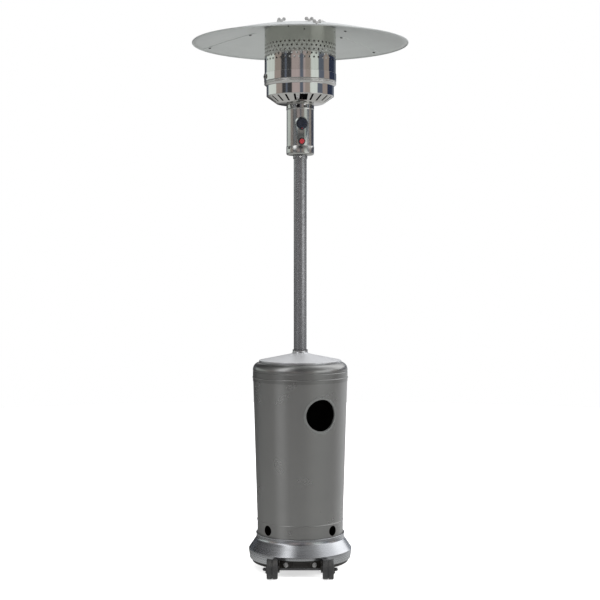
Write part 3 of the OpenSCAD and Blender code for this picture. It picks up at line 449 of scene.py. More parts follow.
def makeWorld():
    world = bpy.data.worlds.new("studioSurroundings")
    bpy.context.scene.world = world
    world.use_nodes = True
    tree = world.node_tree
    tree.nodes.clear()
    output = node(tree, "ShaderNodeOutputWorld")
    background = node(tree, "ShaderNodeBackground")
    wire(tree, background.outputs[0], output.inputs[0])
    right, back, up = splitOf(tree, node(tree, "ShaderNodeTexCoord").outputs["Generated"]).values()
    bearing = maths(tree, "ARCTAN2", right, times(tree, back, -1))
    share = maths(tree, "ADD", maths(tree, "DIVIDE", bearing, 2 * math.pi), 0.5)
    sharp, low, high = (rampOf(tree, share, bandStops(kind)) for kind in ("sharp", "low", "high"))
    down = times(tree, up, -1)
    belowLevel = maths(tree, "ADD", down, 0.06)
    # each layer takes over from those before it between two heights
    layers = [(up, 0.20, 0.28, high), (up, 0.92, 0.99, surroundings["ceiling"]),
              (belowLevel, 0.0, 0.04, low), (down, 0.06, 0.50, surroundings["ground"])]
    mirrored = sharp
    for height, start, end, layer in layers:
        mirrored = tint(tree, rampOf(tree, height, [(start, (0, 0, 0)), (end, (1, 1, 1))]), mirrored, layer)
    ray = node(tree, "ShaderNodeLightPath")
    lit = tint(tree, ray.outputs["Is Glossy Ray"], surroundings["fill"], mirrored)
    wire(tree, tint(tree, ray.outputs["Is Camera Ray"], lit, surroundings["paper"]),
         background.inputs["Color"])


makeWorld()


# Effects that several finishes share
def newGroup(name, inputs, outputs):
    group = bpy.data.node_groups.new(name, "ShaderNodeTree")
    for label, value in inputs.items():
        socket = group.interface.new_socket(label, in_out="INPUT", socket_type="NodeSocketFloat")
        socket.default_value = value
    for label in outputs:
        group.interface.new_socket(label, in_out="OUTPUT", socket_type="NodeSocketFloat")
    return group, group.nodes.new("NodeGroupInput"), group.nodes.new("NodeGroupOutput")


def noiseAt(tree, vector, scale, detail=3.0, rough=0.55):
    noise = node(tree, "ShaderNodeTexNoise")
    noise.inputs["Detail"].default_value = detail
    noise.inputs["Roughness"].default_value = rough
    if isinstance(scale, (int, float)):
        noise.inputs["Scale"].default_value = scale
    else:
        wire(tree, scale, noise.inputs["Scale"])
    wire(tree, vector, noise.inputs["Vector"])
    return noise.outputs[0]


def spread(tree, value, low, high, outLow=0.0, outHigh=1.0):
    between = node(tree, "ShaderNodeMapRange")
    for label, number in (("From Min", low), ("From Max", high), ("To Min", outLow), ("To Max", outHigh)):
        if isinstance(number, (int, float)):
            between.inputs[label].default_value = number
        else:
            wire(tree, number, between.inputs[label])
    wire(tree, value, between.inputs["Value"])
    return between.outputs[0]


def spunLinesGroup():
    # fine lines that run round the Z axis, as a lathe or a brush leaves them
    group, into, out = newGroup("spunLines", {"Lines": 700.0, "Arc": 1.6}, ["Height", "Tone"])
    x, y, z = splitOf(group, pointOf(group)).values()
    radius = maths(group, "SQRT", maths(group, "ADD", times(group, x, x), times(group, y, y)))
    radius = maths(group, "MAXIMUM", radius, 0.0001)
    arc = into.outputs["Arc"]
    across = times(group, maths(group, "SUBTRACT", z, times(group, radius, 0.8)),
                   into.outputs["Lines"])
    around, beside = (times(group, maths(group, "DIVIDE", side, radius), arc) for side in (x, y))
    path = joined(group, around, beside, across)
    wire(group, noiseAt(group, path, 1.0, 4.0, 0.6), out.inputs["Height"])
    wire(group, noiseAt(group, path, 0.11, 2.0, 0.5), out.inputs["Tone"])
    return group


def uprightStreaksGroup():
    # streaks that run up and down a drum: rolling marks and the trails of heat and rain
    group, into, out = newGroup("uprightStreaks", {"Streaks": 60.0, "Height scale": 2.0},
                                ["Height", "Tone"])
    streaks = into.outputs["Streaks"]
    product = node(group, "ShaderNodeVectorMath", operation="MULTIPLY")
    wire(group, pointOf(group), product.inputs[0])
    wire(group, joined(group, streaks, streaks, into.outputs["Height scale"]), product.inputs[1])
    wire(group, noiseAt(group, product.outputs[0], 1.0, 3.0, 0.6), out.inputs["Height"])
    wire(group, noiseAt(group, product.outputs[0], 0.35, 2.0, 0.5), out.inputs["Tone"])
    return group


def mottleGroup():
    # broad soft patches: handling, haze and dust
    group, into, out = newGroup("mottle", {"Scale": 9.0, "Low": 0.35, "High": 0.7}, ["Mask"])
    cloud = noiseAt(group, pointOf(group), into.outputs["Scale"], 4.0, 0.55)
    wire(group, spread(group, cloud, into.outputs["Low"], into.outputs["High"]), out.inputs["Mask"])
    return group


def flakesGroup():
    # metal flakes in paint, or the spangle of zinc, as cells of random tone
    group, into, out = newGroup("flakes", {"Scale": 900.0}, ["Tone", "Height"])
    cells = node(group, "ShaderNodeTexVoronoi")
    wire(group, pointOf(group), cells.inputs["Vector"])
    wire(group, into.outputs["Scale"], cells.inputs["Scale"])
    wire(group, splitOf(group, cells.outputs["Color"])["X"], out.inputs["Tone"])
    wire(group, cells.outputs["Distance"], out.inputs["Height"])
    return group


def hammeredGroup():
    # shallow dimples of hammered paint, with the darker net between them
    group, into, out = newGroup("hammeredSkin", {"Scale": 240.0}, ["Height", "Net", "Patch"])
    point = pointOf(group)
    wobble = node(group, "ShaderNodeTexNoise")
    wobble.inputs["Scale"].default_value = 130
    wire(group, point, wobble.inputs["Vector"])
    shift = node(group, "ShaderNodeVectorMath", operation="SCALE")
    shift.inputs["Scale"].default_value = 0.006
    wire(group, wobble.outputs["Color"], shift.inputs[0])
    moved = node(group, "ShaderNodeVectorMath", operation="ADD")
    wire(group, point, moved.inputs[0])
    wire(group, shift.outputs[0], moved.inputs[1])
    cells = node(group, "ShaderNodeTexVoronoi", feature="SMOOTH_F1")
    wire(group, moved.outputs[0], cells.inputs["Vector"])
    wire(group, into.outputs["Scale"], cells.inputs["Scale"])
    wire(group, cells.outputs["Distance"], out.inputs["Height"])
    wire(group, spread(group, cells.outputs["Distance"], 0.25, 0.75), out.inputs["Net"])
    wire(group, noiseAt(group, point, 85, 3.0, 0.6), out.inputs["Patch"])
    return group


def grainGroup():
    # fine pebbled grain of moulded plastic, rubber and castings
    group, into, out = newGroup("mouldedGrain", {"Scale": 1400.0}, ["Height", "Tone"])
    point = pointOf(group)
    wire(group, noiseAt(group, point, into.outputs["Scale"], 2.0, 0.6), out.inputs["Height"])
    wire(group, noiseAt(group, point, 42, 3.0, 0.55), out.inputs["Tone"])
    return group


def settledDustGroup():
    # dust lies where a face looks up, and thins out with height above the floor
    group, into, out = newGroup("settledDust", {"Reach": 0.25}, ["Mask"])
    point = pointOf(group)
    lying = spread(group, facingOf(group), -0.1, 1.0)
    near = spread(group, splitOf(group, point)["Z"], 0.0, into.outputs["Reach"], 1.0, 0.0)
    cloud = spread(group, noiseAt(group, point, 38, 5.0, 0.65), 0.38, 0.72)
    wire(group, times(group, times(group, lying, near), cloud, True), out.inputs["Mask"])
    return group


def heatTintAndTopShadeGroup():
    # straw and bronze tints that heat leaves on steel, between two heights; on the emitter screen it is
    # also a painted shade that darkens the top below the reflector
    group, into, out = newGroup("heatTintAndTopShade", {"Low": 1.8, "High": 2.0}, ["Mask", "Deep"])
    point = pointOf(group)
    wave = maths(group, "SUBTRACT", noiseAt(group, point, 24, 3.0), 0.5)
    wavy = maths(group, "ADD", splitOf(group, point)["Z"], times(group, wave, 0.05))
    fade = spread(group, wavy, into.outputs["Low"], into.outputs["High"], 1.0, 0.0)
    wire(group, fade, out.inputs["Mask"])
    wire(group, spread(group, fade, 0.5, 1.0), out.inputs["Deep"])
    return group


effects = {"spunLines": spunLinesGroup(), "uprightStreaks": uprightStreaksGroup(), "mottle": mottleGroup(),
           "flakes": flakesGroup(), "hammered": hammeredGroup(), "grain": grainGroup(),
           "settledDust": settledDustGroup(), "heatTintAndTopShade": heatTintAndTopShadeGroup()}
print("stage: camera, lights, surroundings and", len(effects), "shared effects")


def effect(tree, name, **values):
    made = node(tree, "ShaderNodeGroup", node_tree=effects[name])
    for label, value in values.items():
        made.inputs[label.replace("_", " ")].default_value = value
    return made.outputs


def newFinish(name, colour, metallic, roughness):
    finish = bpy.data.materials.new(name)
    finish.use_nodes = True
    tree = finish.node_tree
    tree.nodes.clear()
    output = node(tree, "ShaderNodeOutputMaterial")
    shader = node(tree, "ShaderNodeBsdfPrincipled")
    wire(tree, shader.outputs[0], output.inputs[0])
    shader.inputs["Base Color"].default_value = (*colour, 1)
    shader.inputs["Metallic"].default_value = metallic
    shader.inputs["Roughness"].default_value = roughness
    finish.diffuse_color = (*colour, 1)
    return finish, tree, shader


def relief(tree, shader, *layers):
    # each layer is a height, its distance in metres and its strength
    last = None
    for height, distance, strength in layers:
        bump = node(tree, "ShaderNodeBump")
        bump.inputs["Distance"].default_value = distance
        bump.inputs["Strength"].default_value = strength
        wire(tree, height, bump.inputs["Height"])
        if last:
            wire(tree, last, bump.inputs["Normal"])
        last = bump.outputs[0]
    wire(tree, last, shader.inputs["Normal"])


def over(tree, mask, share, below, above):
    # lays so much of one tone over another where the mask is white
    return tint(tree, times(tree, mask, share), below, above)


def feed(tree, shader, colour, roughness=None):
    wire(tree, colour, shader.inputs["Base Color"])
    if roughness is not None:
        wire(tree, roughness, shader.inputs["Roughness"])


def scaled(colour, share):
    return tuple(share * c for c in colour)


# One function for each kind of finish
def satinCoverPaint(name, share):
    # the share darkens the whole paint; the shoulder's copy at 0.80 is painted shade on the same paint as
    # the cover
    look = {"colour": (0.42, 0.42, 0.412), "deep": (0.37, 0.37, 0.365), "fleck": (0.50, 0.50, 0.495),
            "dust": (0.42, 0.41, 0.39), "metallic": 0.96, "roughness": 0.28}
    colour, deep, fleck = (scaled(look[k], share) for k in ("colour", "deep", "fleck"))
    rough = look["roughness"]
    finish, tree, shader = newFinish(name, colour, look["metallic"], rough)
    flakes = effect(tree, "flakes", Scale=1500.0)
    lines = effect(tree, "spunLines", Lines=420.0, Arc=1.2)
    haze = effect(tree, "mottle", Scale=7.0, Low=0.35, High=0.75)
    dust = effect(tree, "settledDust", Reach=0.9)
    worn = over(tree, haze["Mask"], 0.5, over(tree, flakes["Tone"], 0.12, colour, fleck), deep)
    feed(tree, shader, over(tree, dust["Mask"], 0.05, worn, look["dust"]),
         spread(tree, haze["Mask"], 0, 1, rough - 0.01, rough + 0.04))
    relief(tree, shader, (lines["Height"], 0.00012, 0.03))
    return finish


def trimPaint():
    look = {"colour": (0.20, 0.205, 0.20), "fleck": (0.28, 0.285, 0.28), "metallic": 0.7, "roughness": 0.34}
    finish, tree, shader = newFinish("trimGreyPaint", look["colour"], look["metallic"], look["roughness"])
    flakes = effect(tree, "flakes", Scale=1500.0)
    haze = effect(tree, "mottle", Scale=20.0, Low=0.35, High=0.75)
    feed(tree, shader, over(tree, flakes["Tone"], 0.3, look["colour"], look["fleck"]),
         spread(tree, haze["Mask"], 0, 1, look["roughness"] - 0.08, look["roughness"] + 0.02))
    relief(tree, shader, (flakes["Tone"], 0.00003, 0.25))
    return finish


def darkShadeLining():
    # near-black inner faces of the cover and shoulder: painted shade for the closed inside, seen through
    # its holes
    finish, tree, shader = newFinish("darkShadeLining", (0.012, 0.012, 0.012), 0.0, 0.85)
    grain = effect(tree, "grain", Scale=700.0)
    feed(tree, shader, tint(tree, grain["Tone"], (0.008, 0.008, 0.008), (0.02, 0.019, 0.018)))
    relief(tree, shader, (grain["Height"], 0.0002, 0.3))
    return finish


def spunLidPaint():
    # the top, which looks up, is less metallic and rougher than the edge
    look = {"dark": (0.46, 0.465, 0.48), "light": (0.60, 0.605, 0.62), "fleck": (0.66, 0.66, 0.66),
            "colour": (0.52, 0.525, 0.54), "metallic": 0.92, "metallicTop": 0.5, "roughness": 0.27}
    rough = look["roughness"]
    finish, tree, shader = newFinish("spunSilverPaint", look["colour"], look["metallic"], rough)
    lying = spread(tree, facingOf(tree), 0.45, 0.95)
    wire(tree, spread(tree, lying, 0, 1, look["metallic"], look["metallicTop"]), shader.inputs["Metallic"])
    lines = effect(tree, "spunLines", Lines=520.0, Arc=0.9)
    flakes = effect(tree, "flakes", Scale=1500.0)
    toned = tint(tree, lines["Tone"], look["dark"], look["light"])
    lined = spread(tree, lines["Tone"], 0.3, 0.7, rough - 0.04, rough + 0.07)
    feed(tree, shader, over(tree, flakes["Tone"], 0.2, toned, look["fleck"]),
         maths(tree, "ADD", lined, times(tree, lying, 0.18)))
    relief(tree, shader, (lines["Height"], 0.00016, 0.5))
    return finish


def brushedTrim():
    look = {"colour": (0.60, 0.61, 0.63), "dark": (0.52, 0.53, 0.55), "light": (0.66, 0.67, 0.69),
            "dust": (0.33, 0.32, 0.30), "roughness": 0.25}
    rough = look["roughness"]
    finish, tree, shader = newFinish("brushedTrimSteel", look["colour"], 1.0, rough)
    lines = effect(tree, "spunLines", Lines=900.0, Arc=0.7)
    broad = effect(tree, "spunLines", Lines=160.0, Arc=1.4)
    dust = effect(tree, "settledDust", Reach=0.2)
    toned = tint(tree, broad["Tone"], look["dark"], look["light"])
    feed(tree, shader, over(tree, dust["Mask"], 0.25, toned, look["dust"]),
         spread(tree, lines["Height"], 0.3, 0.7, rough - 0.05, rough + 0.08))
    relief(tree, shader, (lines["Height"], 0.00012, 0.55), (broad["Height"], 0.0002, 0.25))
    return finish


def basePaint():
    look = {"colour": (0.010, 0.0095, 0.009), "dark": (0.007, 0.0065, 0.006),
            "light": (0.018, 0.016, 0.014), "dust": (0.15, 0.135, 0.115), "roughness": (0.28, 0.34, 0.5)}
    least, usual, most = look["roughness"]
    finish, tree, shader = newFinish("blackBasePaint", look["colour"], 0.0, usual)
    grain = effect(tree, "grain", Scale=520.0)
    dust = effect(tree, "settledDust", Reach=0.1)
    scuffs = effect(tree, "mottle", Scale=26.0, Low=0.5, High=0.72)
    toned = tint(tree, grain["Tone"], look["dark"], look["light"])
    feed(tree, shader, over(tree, dust["Mask"], 0.5, toned, look["dust"]),
         spread(tree, scuffs["Mask"], 0, 1, least, most))
    relief(tree, shader, (grain["Height"], 0.0003, 0.35))
    return finish


def moulded(name, dark, light, roughness, grainScale, depth, dustShare, coat=0.0):
    dusty, coatRoughness = (0.2, 0.185, 0.16), 0.12
    finish, tree, shader = newFinish(name, dark, 0.0, roughness)
    grain = effect(tree, "grain", Scale=grainScale)
    dust = effect(tree, "settledDust", Reach=0.12)
    haze = effect(tree, "mottle", Scale=30.0, Low=0.4, High=0.7)
    feed(tree, shader, over(tree, dust["Mask"], dustShare, tint(tree, grain["Tone"], dark, light), dusty),
         spread(tree, haze["Mask"], 0, 1, roughness - 0.05, roughness + 0.08))
    shader.inputs["Coat Weight"].default_value = coat
    shader.inputs["Coat Roughness"].default_value = coatRoughness
    relief(tree, shader, (grain["Height"], depth, 0.5))
    return finish


def plated(name, dark, light, roughness, spangle, warm=0.0, metal=1.0):
    finish, tree, shader = newFinish(name, light, metal, roughness)
    cells = effect(tree, "flakes", Scale=spangle)
    haze = effect(tree, "mottle", Scale=34.0, Low=0.35, High=0.72)
    toned = tint(tree, cells["Tone"], dark, light)
    stain = tuple(c * (0.55 + 0.2 * warm if i == 0 else 0.55 - 0.1 * warm * i) for i, c in enumerate(dark))
    feed(tree, shader, over(tree, haze["Mask"], 0.45, toned, stain),
         spread(tree, haze["Mask"], 0, 1, roughness, roughness + 0.16))
    relief(tree, shader, (cells["Tone"], 0.00005, 0.3), (haze["Mask"], 0.0002, 0.2))
    return finish


def hammeredPaint():
    look = {"dark": (0.21, 0.212, 0.22), "light": (0.33, 0.334, 0.345), "patch": (0.25, 0.252, 0.26),
            "metallic": 0.85, "roughness": 0.24}
    rough = look["roughness"]
    finish, tree, shader = newFinish("hammeredGreyPaint", look["light"], look["metallic"], rough)
    skin = effect(tree, "hammered", Scale=230.0)
    net = tint(tree, skin["Net"], look["light"], look["dark"])
    feed(tree, shader, tint(tree, spread(tree, skin["Patch"], 0.4, 0.68), net, look["patch"]),
         spread(tree, skin["Patch"], 0.35, 0.65, rough - 0.06, rough + 0.12))
    relief(tree, shader, (skin["Height"], 0.0004, 0.16), (skin["Patch"], 0.0004, 0.1))
    return finish


def polishedSteel(name, colour, roughness, heatAndShadeShare, heatAndShadeLow, heatAndShadeHigh, heatAndShadeTone):
    finish, tree, shader = newFinish(name, colour, 1.0, roughness)
    streaks = effect(tree, "uprightStreaks", Streaks=95.0, Height_scale=1.6)
    haze = effect(tree, "mottle", Scale=16.0, Low=0.38, High=0.75)
    # darker towards one end: straw from heat on the drum, and on the screen painted shade over the top
    heat = effect(tree, "heatTintAndTopShade", Low=heatAndShadeLow, High=heatAndShadeHigh)
    dulled = over(tree, haze["Mask"], 0.22, colour, scaled(colour, 0.8))
    trails = spread(tree, streaks["Height"], 0.42, 0.68)
    streaked = over(tree, trails, 0.16, dulled, scaled(colour, 0.72))
    straw = over(tree, heat["Mask"], heatAndShadeShare, streaked, heatAndShadeTone)
    hazy = spread(tree, haze["Mask"], 0, 1, roughness, roughness + 0.05)
    feed(tree, shader, over(tree, heat["Deep"], heatAndShadeShare * 0.3, straw, scaled(heatAndShadeTone, 0.7)),
         maths(tree, "ADD", hazy, spread(tree, streaks["Height"], 0.5, 0.75, 0.0, 0.05)))
    relief(tree, shader, (streaks["Tone"], 0.0008, 0.12), (haze["Mask"], 0.0006, 0.06))
    return finish


def matteAluminium():
    look = {"colour": (0.76, 0.785, 0.775), "dull": (0.66, 0.685, 0.675), "line": (0.5, 0.5, 0.5),
            "metallic": 0.94, "roughness": 0.38}
    rough = look["roughness"]
    finish, tree, shader = newFinish("satinAluminium", look["colour"], look["metallic"], rough)
    lines = effect(tree, "spunLines", Lines=260.0, Arc=3.0)
    haze = effect(tree, "mottle", Scale=5.0, Low=0.3, High=0.75)
    toned = over(tree, haze["Mask"], 0.4, look["colour"], look["dull"])
    feed(tree, shader, over(tree, lines["Tone"], 0.15, toned, look["line"]),
         spread(tree, haze["Mask"], 0, 1, rough - 0.06, rough + 0.08))
    relief(tree, shader, (lines["Height"], 0.0002, 0.2), (haze["Mask"], 0.003, 0.15))
    return finish


def heatedSteel():
    look = {"colour": (0.16, 0.14, 0.125), "straw": (0.20, 0.17, 0.145), "blue": (0.075, 0.08, 0.11),
            "soot": (0.04, 0.035, 0.03), "metallic": 0.9, "roughness": (0.34, 0.42, 0.6)}
    least, usual, most = look["roughness"]
    finish, tree, shader = newFinish("heatedBurnerSteel", look["colour"], look["metallic"], usual)
    haze = effect(tree, "mottle", Scale=22.0, Low=0.3, High=0.7)
    cells = effect(tree, "flakes", Scale=420.0)
    tempered = tint(tree, haze["Mask"], look["straw"], look["blue"])
    feed(tree, shader, over(tree, cells["Tone"], 0.3, tempered, look["soot"]),
         spread(tree, haze["Mask"], 0, 1, least, most))
    relief(tree, shader, (haze["Mask"], 0.0006, 0.25))
    return finish


# Each plastic: name, dark and light tone, roughness, grain to the metre, depth, share of dust, coat
plastics = {
    "rubber": ("footRubber", (0.012, 0.012, 0.012), (0.03, 0.03, 0.03), 0.74, 900.0, 0.0003, 0.45),
    "wheelPlastic": ("wheelPlastic", (0.011, 0.011, 0.012), (0.03, 0.03, 0.031), 0.42, 620.0, 0.0004, 0.35),
    "bushPlastic": ("bushNylon", (0.014, 0.014, 0.015), (0.03, 0.03, 0.032), 0.46, 900.0, 0.0002, 0.1),
    "knobPlastic": ("knobPlastic", (0.005, 0.007, 0.013), (0.010, 0.013, 0.023), 0.34, 1300.0, 0.00012,
                    0.0, 0.2),
    "blackPlastic": ("blackPlastic", (0.009, 0.009, 0.011), (0.02, 0.02, 0.023), 0.34, 1300.0, 0.00012,
                     0.0, 0.2),
    "redPlastic": ("redPlastic", (0.20, 0.010, 0.016), (0.30, 0.020, 0.026), 0.26, 1300.0, 0.0001, 0.0,
                   0.5),
    "pointerRed": ("pointerRed", (0.16, 0.010, 0.013), (0.24, 0.018, 0.020), 0.42, 1300.0, 0.0001, 0.0),
    "ceramic": ("glazedCeramic", (0.66, 0.64, 0.58), (0.78, 0.77, 0.72), 0.24, 500.0, 0.0001, 0.0, 0.4),
    "screenLining": ("oxidisedLining", (0.62, 0.60, 0.56), (0.74, 0.72, 0.68), 0.7, 300.0, 0.0003, 0.0),
}
# Each plating: name, dark and light tone, roughness, spangle to the metre, warmth of its stains, metallic
platings = {
    "zinc": ("zincPlate", (0.40, 0.41, 0.42), (0.60, 0.61, 0.62), 0.34, 260.0),
    "brightSteel": ("brightScrewSteel", (0.62, 0.62, 0.62), (0.80, 0.80, 0.79), 0.22, 900.0, 0.0, 0.7),
    "boltSteel": ("boltSteel", (0.50, 0.50, 0.50), (0.72, 0.72, 0.71), 0.30, 500.0, 0.0, 0.80),
    "axleSteel": ("axleSteel", (0.16, 0.16, 0.165), (0.26, 0.26, 0.265), 0.4, 400.0),
    "darkZinc": ("darkZincPlate", (0.085, 0.085, 0.09), (0.16, 0.16, 0.165), 0.4, 500.0),
    "clampSteel": ("clampSteel", (0.40, 0.40, 0.39), (0.62, 0.62, 0.60), 0.24, 700.0),
    "valveAlloy": ("valveCasting", (0.36, 0.34, 0.28), (0.47, 0.44, 0.36), 0.5, 800.0, 0.3),
    "brass": ("machinedBrass", (0.55, 0.40, 0.16), (0.72, 0.54, 0.23), 0.26, 900.0, 0.4),
    "copper": ("copperTube", (0.55, 0.27, 0.15), (0.75, 0.42, 0.26), 0.28, 600.0, 0.5),
}
# Each polished sheet: name, colour, roughness, share of heat tint, its low and high end, its tone; on the
# screen this tint is heat tint and painted shade over its top
polished = {
    # the screen's darker grey top at full share is painted shade under the reflector, together with heat
    # tint
    "screenSteel": ("polishedScreenSteel", (0.66, 0.655, 0.63), 0.065, 1.0, 2.055, 1.985,
                    (0.47, 0.475, 0.43)),
    "drumSteel": ("polishedDrumSteel", (0.76, 0.75, 0.735), 0.045, 0.06, 1.80, 1.90, (0.60, 0.50, 0.36)),
    "housingSteel": ("polishedHousingSteel", (0.60, 0.60, 0.58), 0.19, 0.0, 1.0, 1.1, (0.60, 0.50, 0.36)),
    "dialSteel": ("polishedDialSteel", (0.46, 0.49, 0.47), 0.17, 0.0, 1.0, 1.1, (0.60, 0.50, 0.36)),
}
finishes = {
    "coverPaint": satinCoverPaint("satinSilverPaint", 1.0),
    # the shoulder's paint is the cover's paint darkened to 0.80, a painted shade
    "shoulderPaintShaded": satinCoverPaint("shoulderSilverPaintShaded", 0.80), "trimPaint": trimPaint(),
    "shadeLining": darkShadeLining(), "lidPaint": spunLidPaint(), "trim": brushedTrim(), "basePaint": basePaint(),
    "hammered": hammeredPaint(), "aluminium": matteAluminium(), "burnerSteel": heatedSteel(),
}
for table, kind in ((plastics, moulded), (platings, plated), (polished, polishedSteel)):
    finishes.update({name: kind(*values) for name, values in table.items()})
print("stage:", len(finishes), "finishes")


# The floor is a pale disc that only the camera and the shadows see
floor = {"radius": 6.0, "sides": 96, "colour": (0.93, 0.93, 0.93), "glow": 0.62}


def makeFloor():
    disc = startRing("studioFloor", floor["radius"], 0.0, floor["sides"], 0.0, "TRIFAN")
    backToObject()
    paper, _, shader = newFinish("studioPaper", floor["colour"], 0.0, 0.9)
    shader.inputs["Emission Color"].default_value = (1, 1, 1, 1)
    shader.inputs["Emission Strength"].default_value = floor["glow"]
    disc.data.materials.append(paper)
    disc.visible_glossy = False


makeFloor()


# Base plate: pressed from one round sheet, its skirt turned in at the bottom over a rolled hem
def makeBasePlate():
    size = {"skirt": 0.188, "flange": 0.036, "bottom": 0.028, "top": 0.072, "round": 0.008, "sheet": 0.002,
            "hem": 0.0035, "hemProud": 0.0012, "dish": 0.001, "dishRadius": 0.092, "dishStep": 0.003,
            "centre": 0.004, "sides": 192}
    r, low, high, hem, turn = read(size, "skirt", "bottom", "top", "hem", "round")
    dishHeight = high - size["dish"]
    path = [(r - size["flange"], low), (r - hem, low)]
    path += arcPoints(r - hem + size["hemProud"], low + hem, hem, -90, 60, 6) + [(r, low + 2.4 * hem)]
    path += arcPoints(r - turn, high - turn, turn, 0, 90, 8)
    path += [(size["dishRadius"], high), (size["dishRadius"] - size["dishStep"], dishHeight),
             (size["centre"], dishHeight), (0, dishHeight)]
    plate = spunSheet("basePlate", path, size["sheet"], size["sides"])
    smooth(plate)
    return mount(plate, "heater", "base_plate", "black_paint", "basePaint")


def makeFeet():
    size = {"radius": 0.016, "height": 0.028, "top": 0.013, "chamfer": 0.003, "ring": 0.168, "grooves": 3,
            "groove": 0.0008, "grooveHalf": 0.0012, "firstGroove": 0.009, "pitch": 0.006, "burr": 0.0006}
    r, chamfer, half = size["radius"], size["chamfer"], size["grooveHalf"]
    path = [(0, 0), (r - chamfer, 0), (r - size["burr"], chamfer * 0.7), (r, chamfer * 1.3)]
    for k in range(size["grooves"]):
        z = size["firstGroove"] + k * size["pitch"]
        out = r - (r - size["top"]) * z / size["height"]
        path += [(out, z - half), (out - size["groove"], z), (out, z + half)]
    path += [(size["top"], size["height"]), (0, size["height"])]
    foot = turnedSolid("foot", path, 40)
    feet = repeated(foot, "baseFeet", [turnBy(45 + 90 * k) @ shiftBy(size["ring"], 0, 0) for k in range(4)])
    smooth(feet, 28)
    return mount(feet, "heater", "base_feet", "foot_rubber", "rubber")


# Trim ring: spun from its skirt up over the lip and the flare to the beaded collar, on a flat seat
def makeTrimRing():
    size = {"skirt": 0.198, "low": 0.042, "front": 0.066, "lip": 0.202, "waist": 0.072, "lipTop": 0.080,
            "lipRound": 0.003, "collar": 0.1727, "crease": 0.118, "top": 0.140, "bead": 0.0016,
            "beadFoot": 0.004, "beadProud": 0.0001, "sheet": 0.0012, "seat": 0.0721, "seatInner": 0.178,
            "gap": 38.9, "sides": 256, "burr": (0.0005, 0.0006),
            "creaseSteps": ((0.0034, -0.0018), (0.0015, 0), (0, 0.0022))}
    r, edge, collar, sheet, skirt, low = read(size, "lip", "lipRound", "collar", "sheet", "skirt", "low")
    frontRadius = r - (r - skirt) * (size["waist"] - size["front"]) / (size["waist"] - low)
    path = [(skirt - size["burr"][0], low), (skirt, low + size["burr"][1]), (frontRadius, size["front"])]
    path += [(r, size["waist"])] + arcPoints(r - edge, size["lipTop"] - edge, edge, 0, 50, 6)
    path += [(collar + out, size["crease"] + up) for out, up in size["creaseSteps"]]
    path += [(collar, size["top"] - size["beadFoot"])]
    path += arcPoints(collar + size["beadProud"], size["top"] - size["bead"], size["bead"], -50, 110, 7)
    ring = spunSheet("baseTrimRing", path, 0, size["sides"])
    cutAway(ring, lambda co: co.z < size["front"] and abs(bearingOf(co)) < size["gap"])
    thicken(ring, sheet)
    seat, flat, inner, outer = size["seat"], size["seat"] + sheet, size["seatInner"], r - sheet / 2
    shelf = turnedSolid("seat", [(inner, seat), (outer, seat), (outer, flat), (inner, flat)], size["sides"])
    ring = gather([ring, shelf], "baseTrimRing")
    smooth(ring, 40)
    return mount(ring, "heater", "base_trim_ring", "trim_steel", "trim")


# A hexagon head with a pressed flange under it, its seat on z = 0
def hexHead(name, across, height, flange=0.0):
    # shares of the width across its flats
    size = {"flange": 0.74, "flangeTop": 0.6, "crown": 0.36, "crownTop": 0.33, "soft": 0.14,
            "sunk": 0.0002, "crownUp": 0.0004, "middleUp": 0.0005}
    wide, narrow, crown, crownTop = (across * size[k] for k in ("flange", "flangeTop", "crown", "crownTop"))
    top = flange + height
    head = rodAt(name, across / math.sqrt(3), height, shiftBy(0, 0, flange + height / 2), 6)
    softEdges(head, height * size["soft"], 2, 40)
    parts = [head]
    if flange:
        rim = [(0, 0), (wide, 0), (wide, flange * 0.5), (narrow, flange), (0, flange)]
        parts.append(turnedSolid(name + "Flange", rim, 36))
    raised = [(0, top - size["sunk"]), (crown, top - size["sunk"]),
              (crownTop, top + size["crownUp"]), (0, top + size["middleUp"])]
    parts.append(turnedSolid(name + "Dome", raised, 24))
    return gather(parts, name)


# A pan head with a cross recess, its seat on z = 0
def panHead(name, radius, height):
    size = {"rim": 0.25, "turns": (25, 50, 72), "cross": (1.15, 0.24), "crossUp": 1.02}
    path = [(0, 0), (radius, 0), (radius, height * size["rim"])]
    for turn in size["turns"]:
        across, up = math.cos(math.radians(turn)), math.sin(math.radians(turn))
        path.append((radius * across, height * (size["rim"] + (1 - size["rim"]) * up)))
    head = turnedSolid(name, path + [(0, height)], 28)
    bar = (radius * size["cross"][0], radius * size["cross"][1], height)
    cross = [boxAt("cross", bar, turnBy(turn) @ shiftBy(0, 0, height * size["crossUp"]))
             for turn in (45, 135)]
    combine(cross[0], cross[1], "UNION")
    combine(head, cross[0], "DIFFERENCE")
    return head


def makeBracketBolts():
    size = {"turn": 16.682, "radius": 0.1913, "height": 0.048, "across": 0.0128, "head": 0.004,
            "flange": 0.0012, "twist": 8}
    bolt = hexHead("bracketBolt", size["across"], size["head"], size["flange"])
    spots = [facingFront(side * size["turn"], size["radius"], size["height"]) @ turnBy(size["twist"] * side)
             for side in (-1, 1)]
    bolts = repeated(bolt, "bracketBolts", spots)
    smooth(bolts, 30)
    return mount(bolts, "heater", "bracket_bolts", "bright_screw", "boltSteel")


axle = {"y": -0.212187, "z": 0.0385}


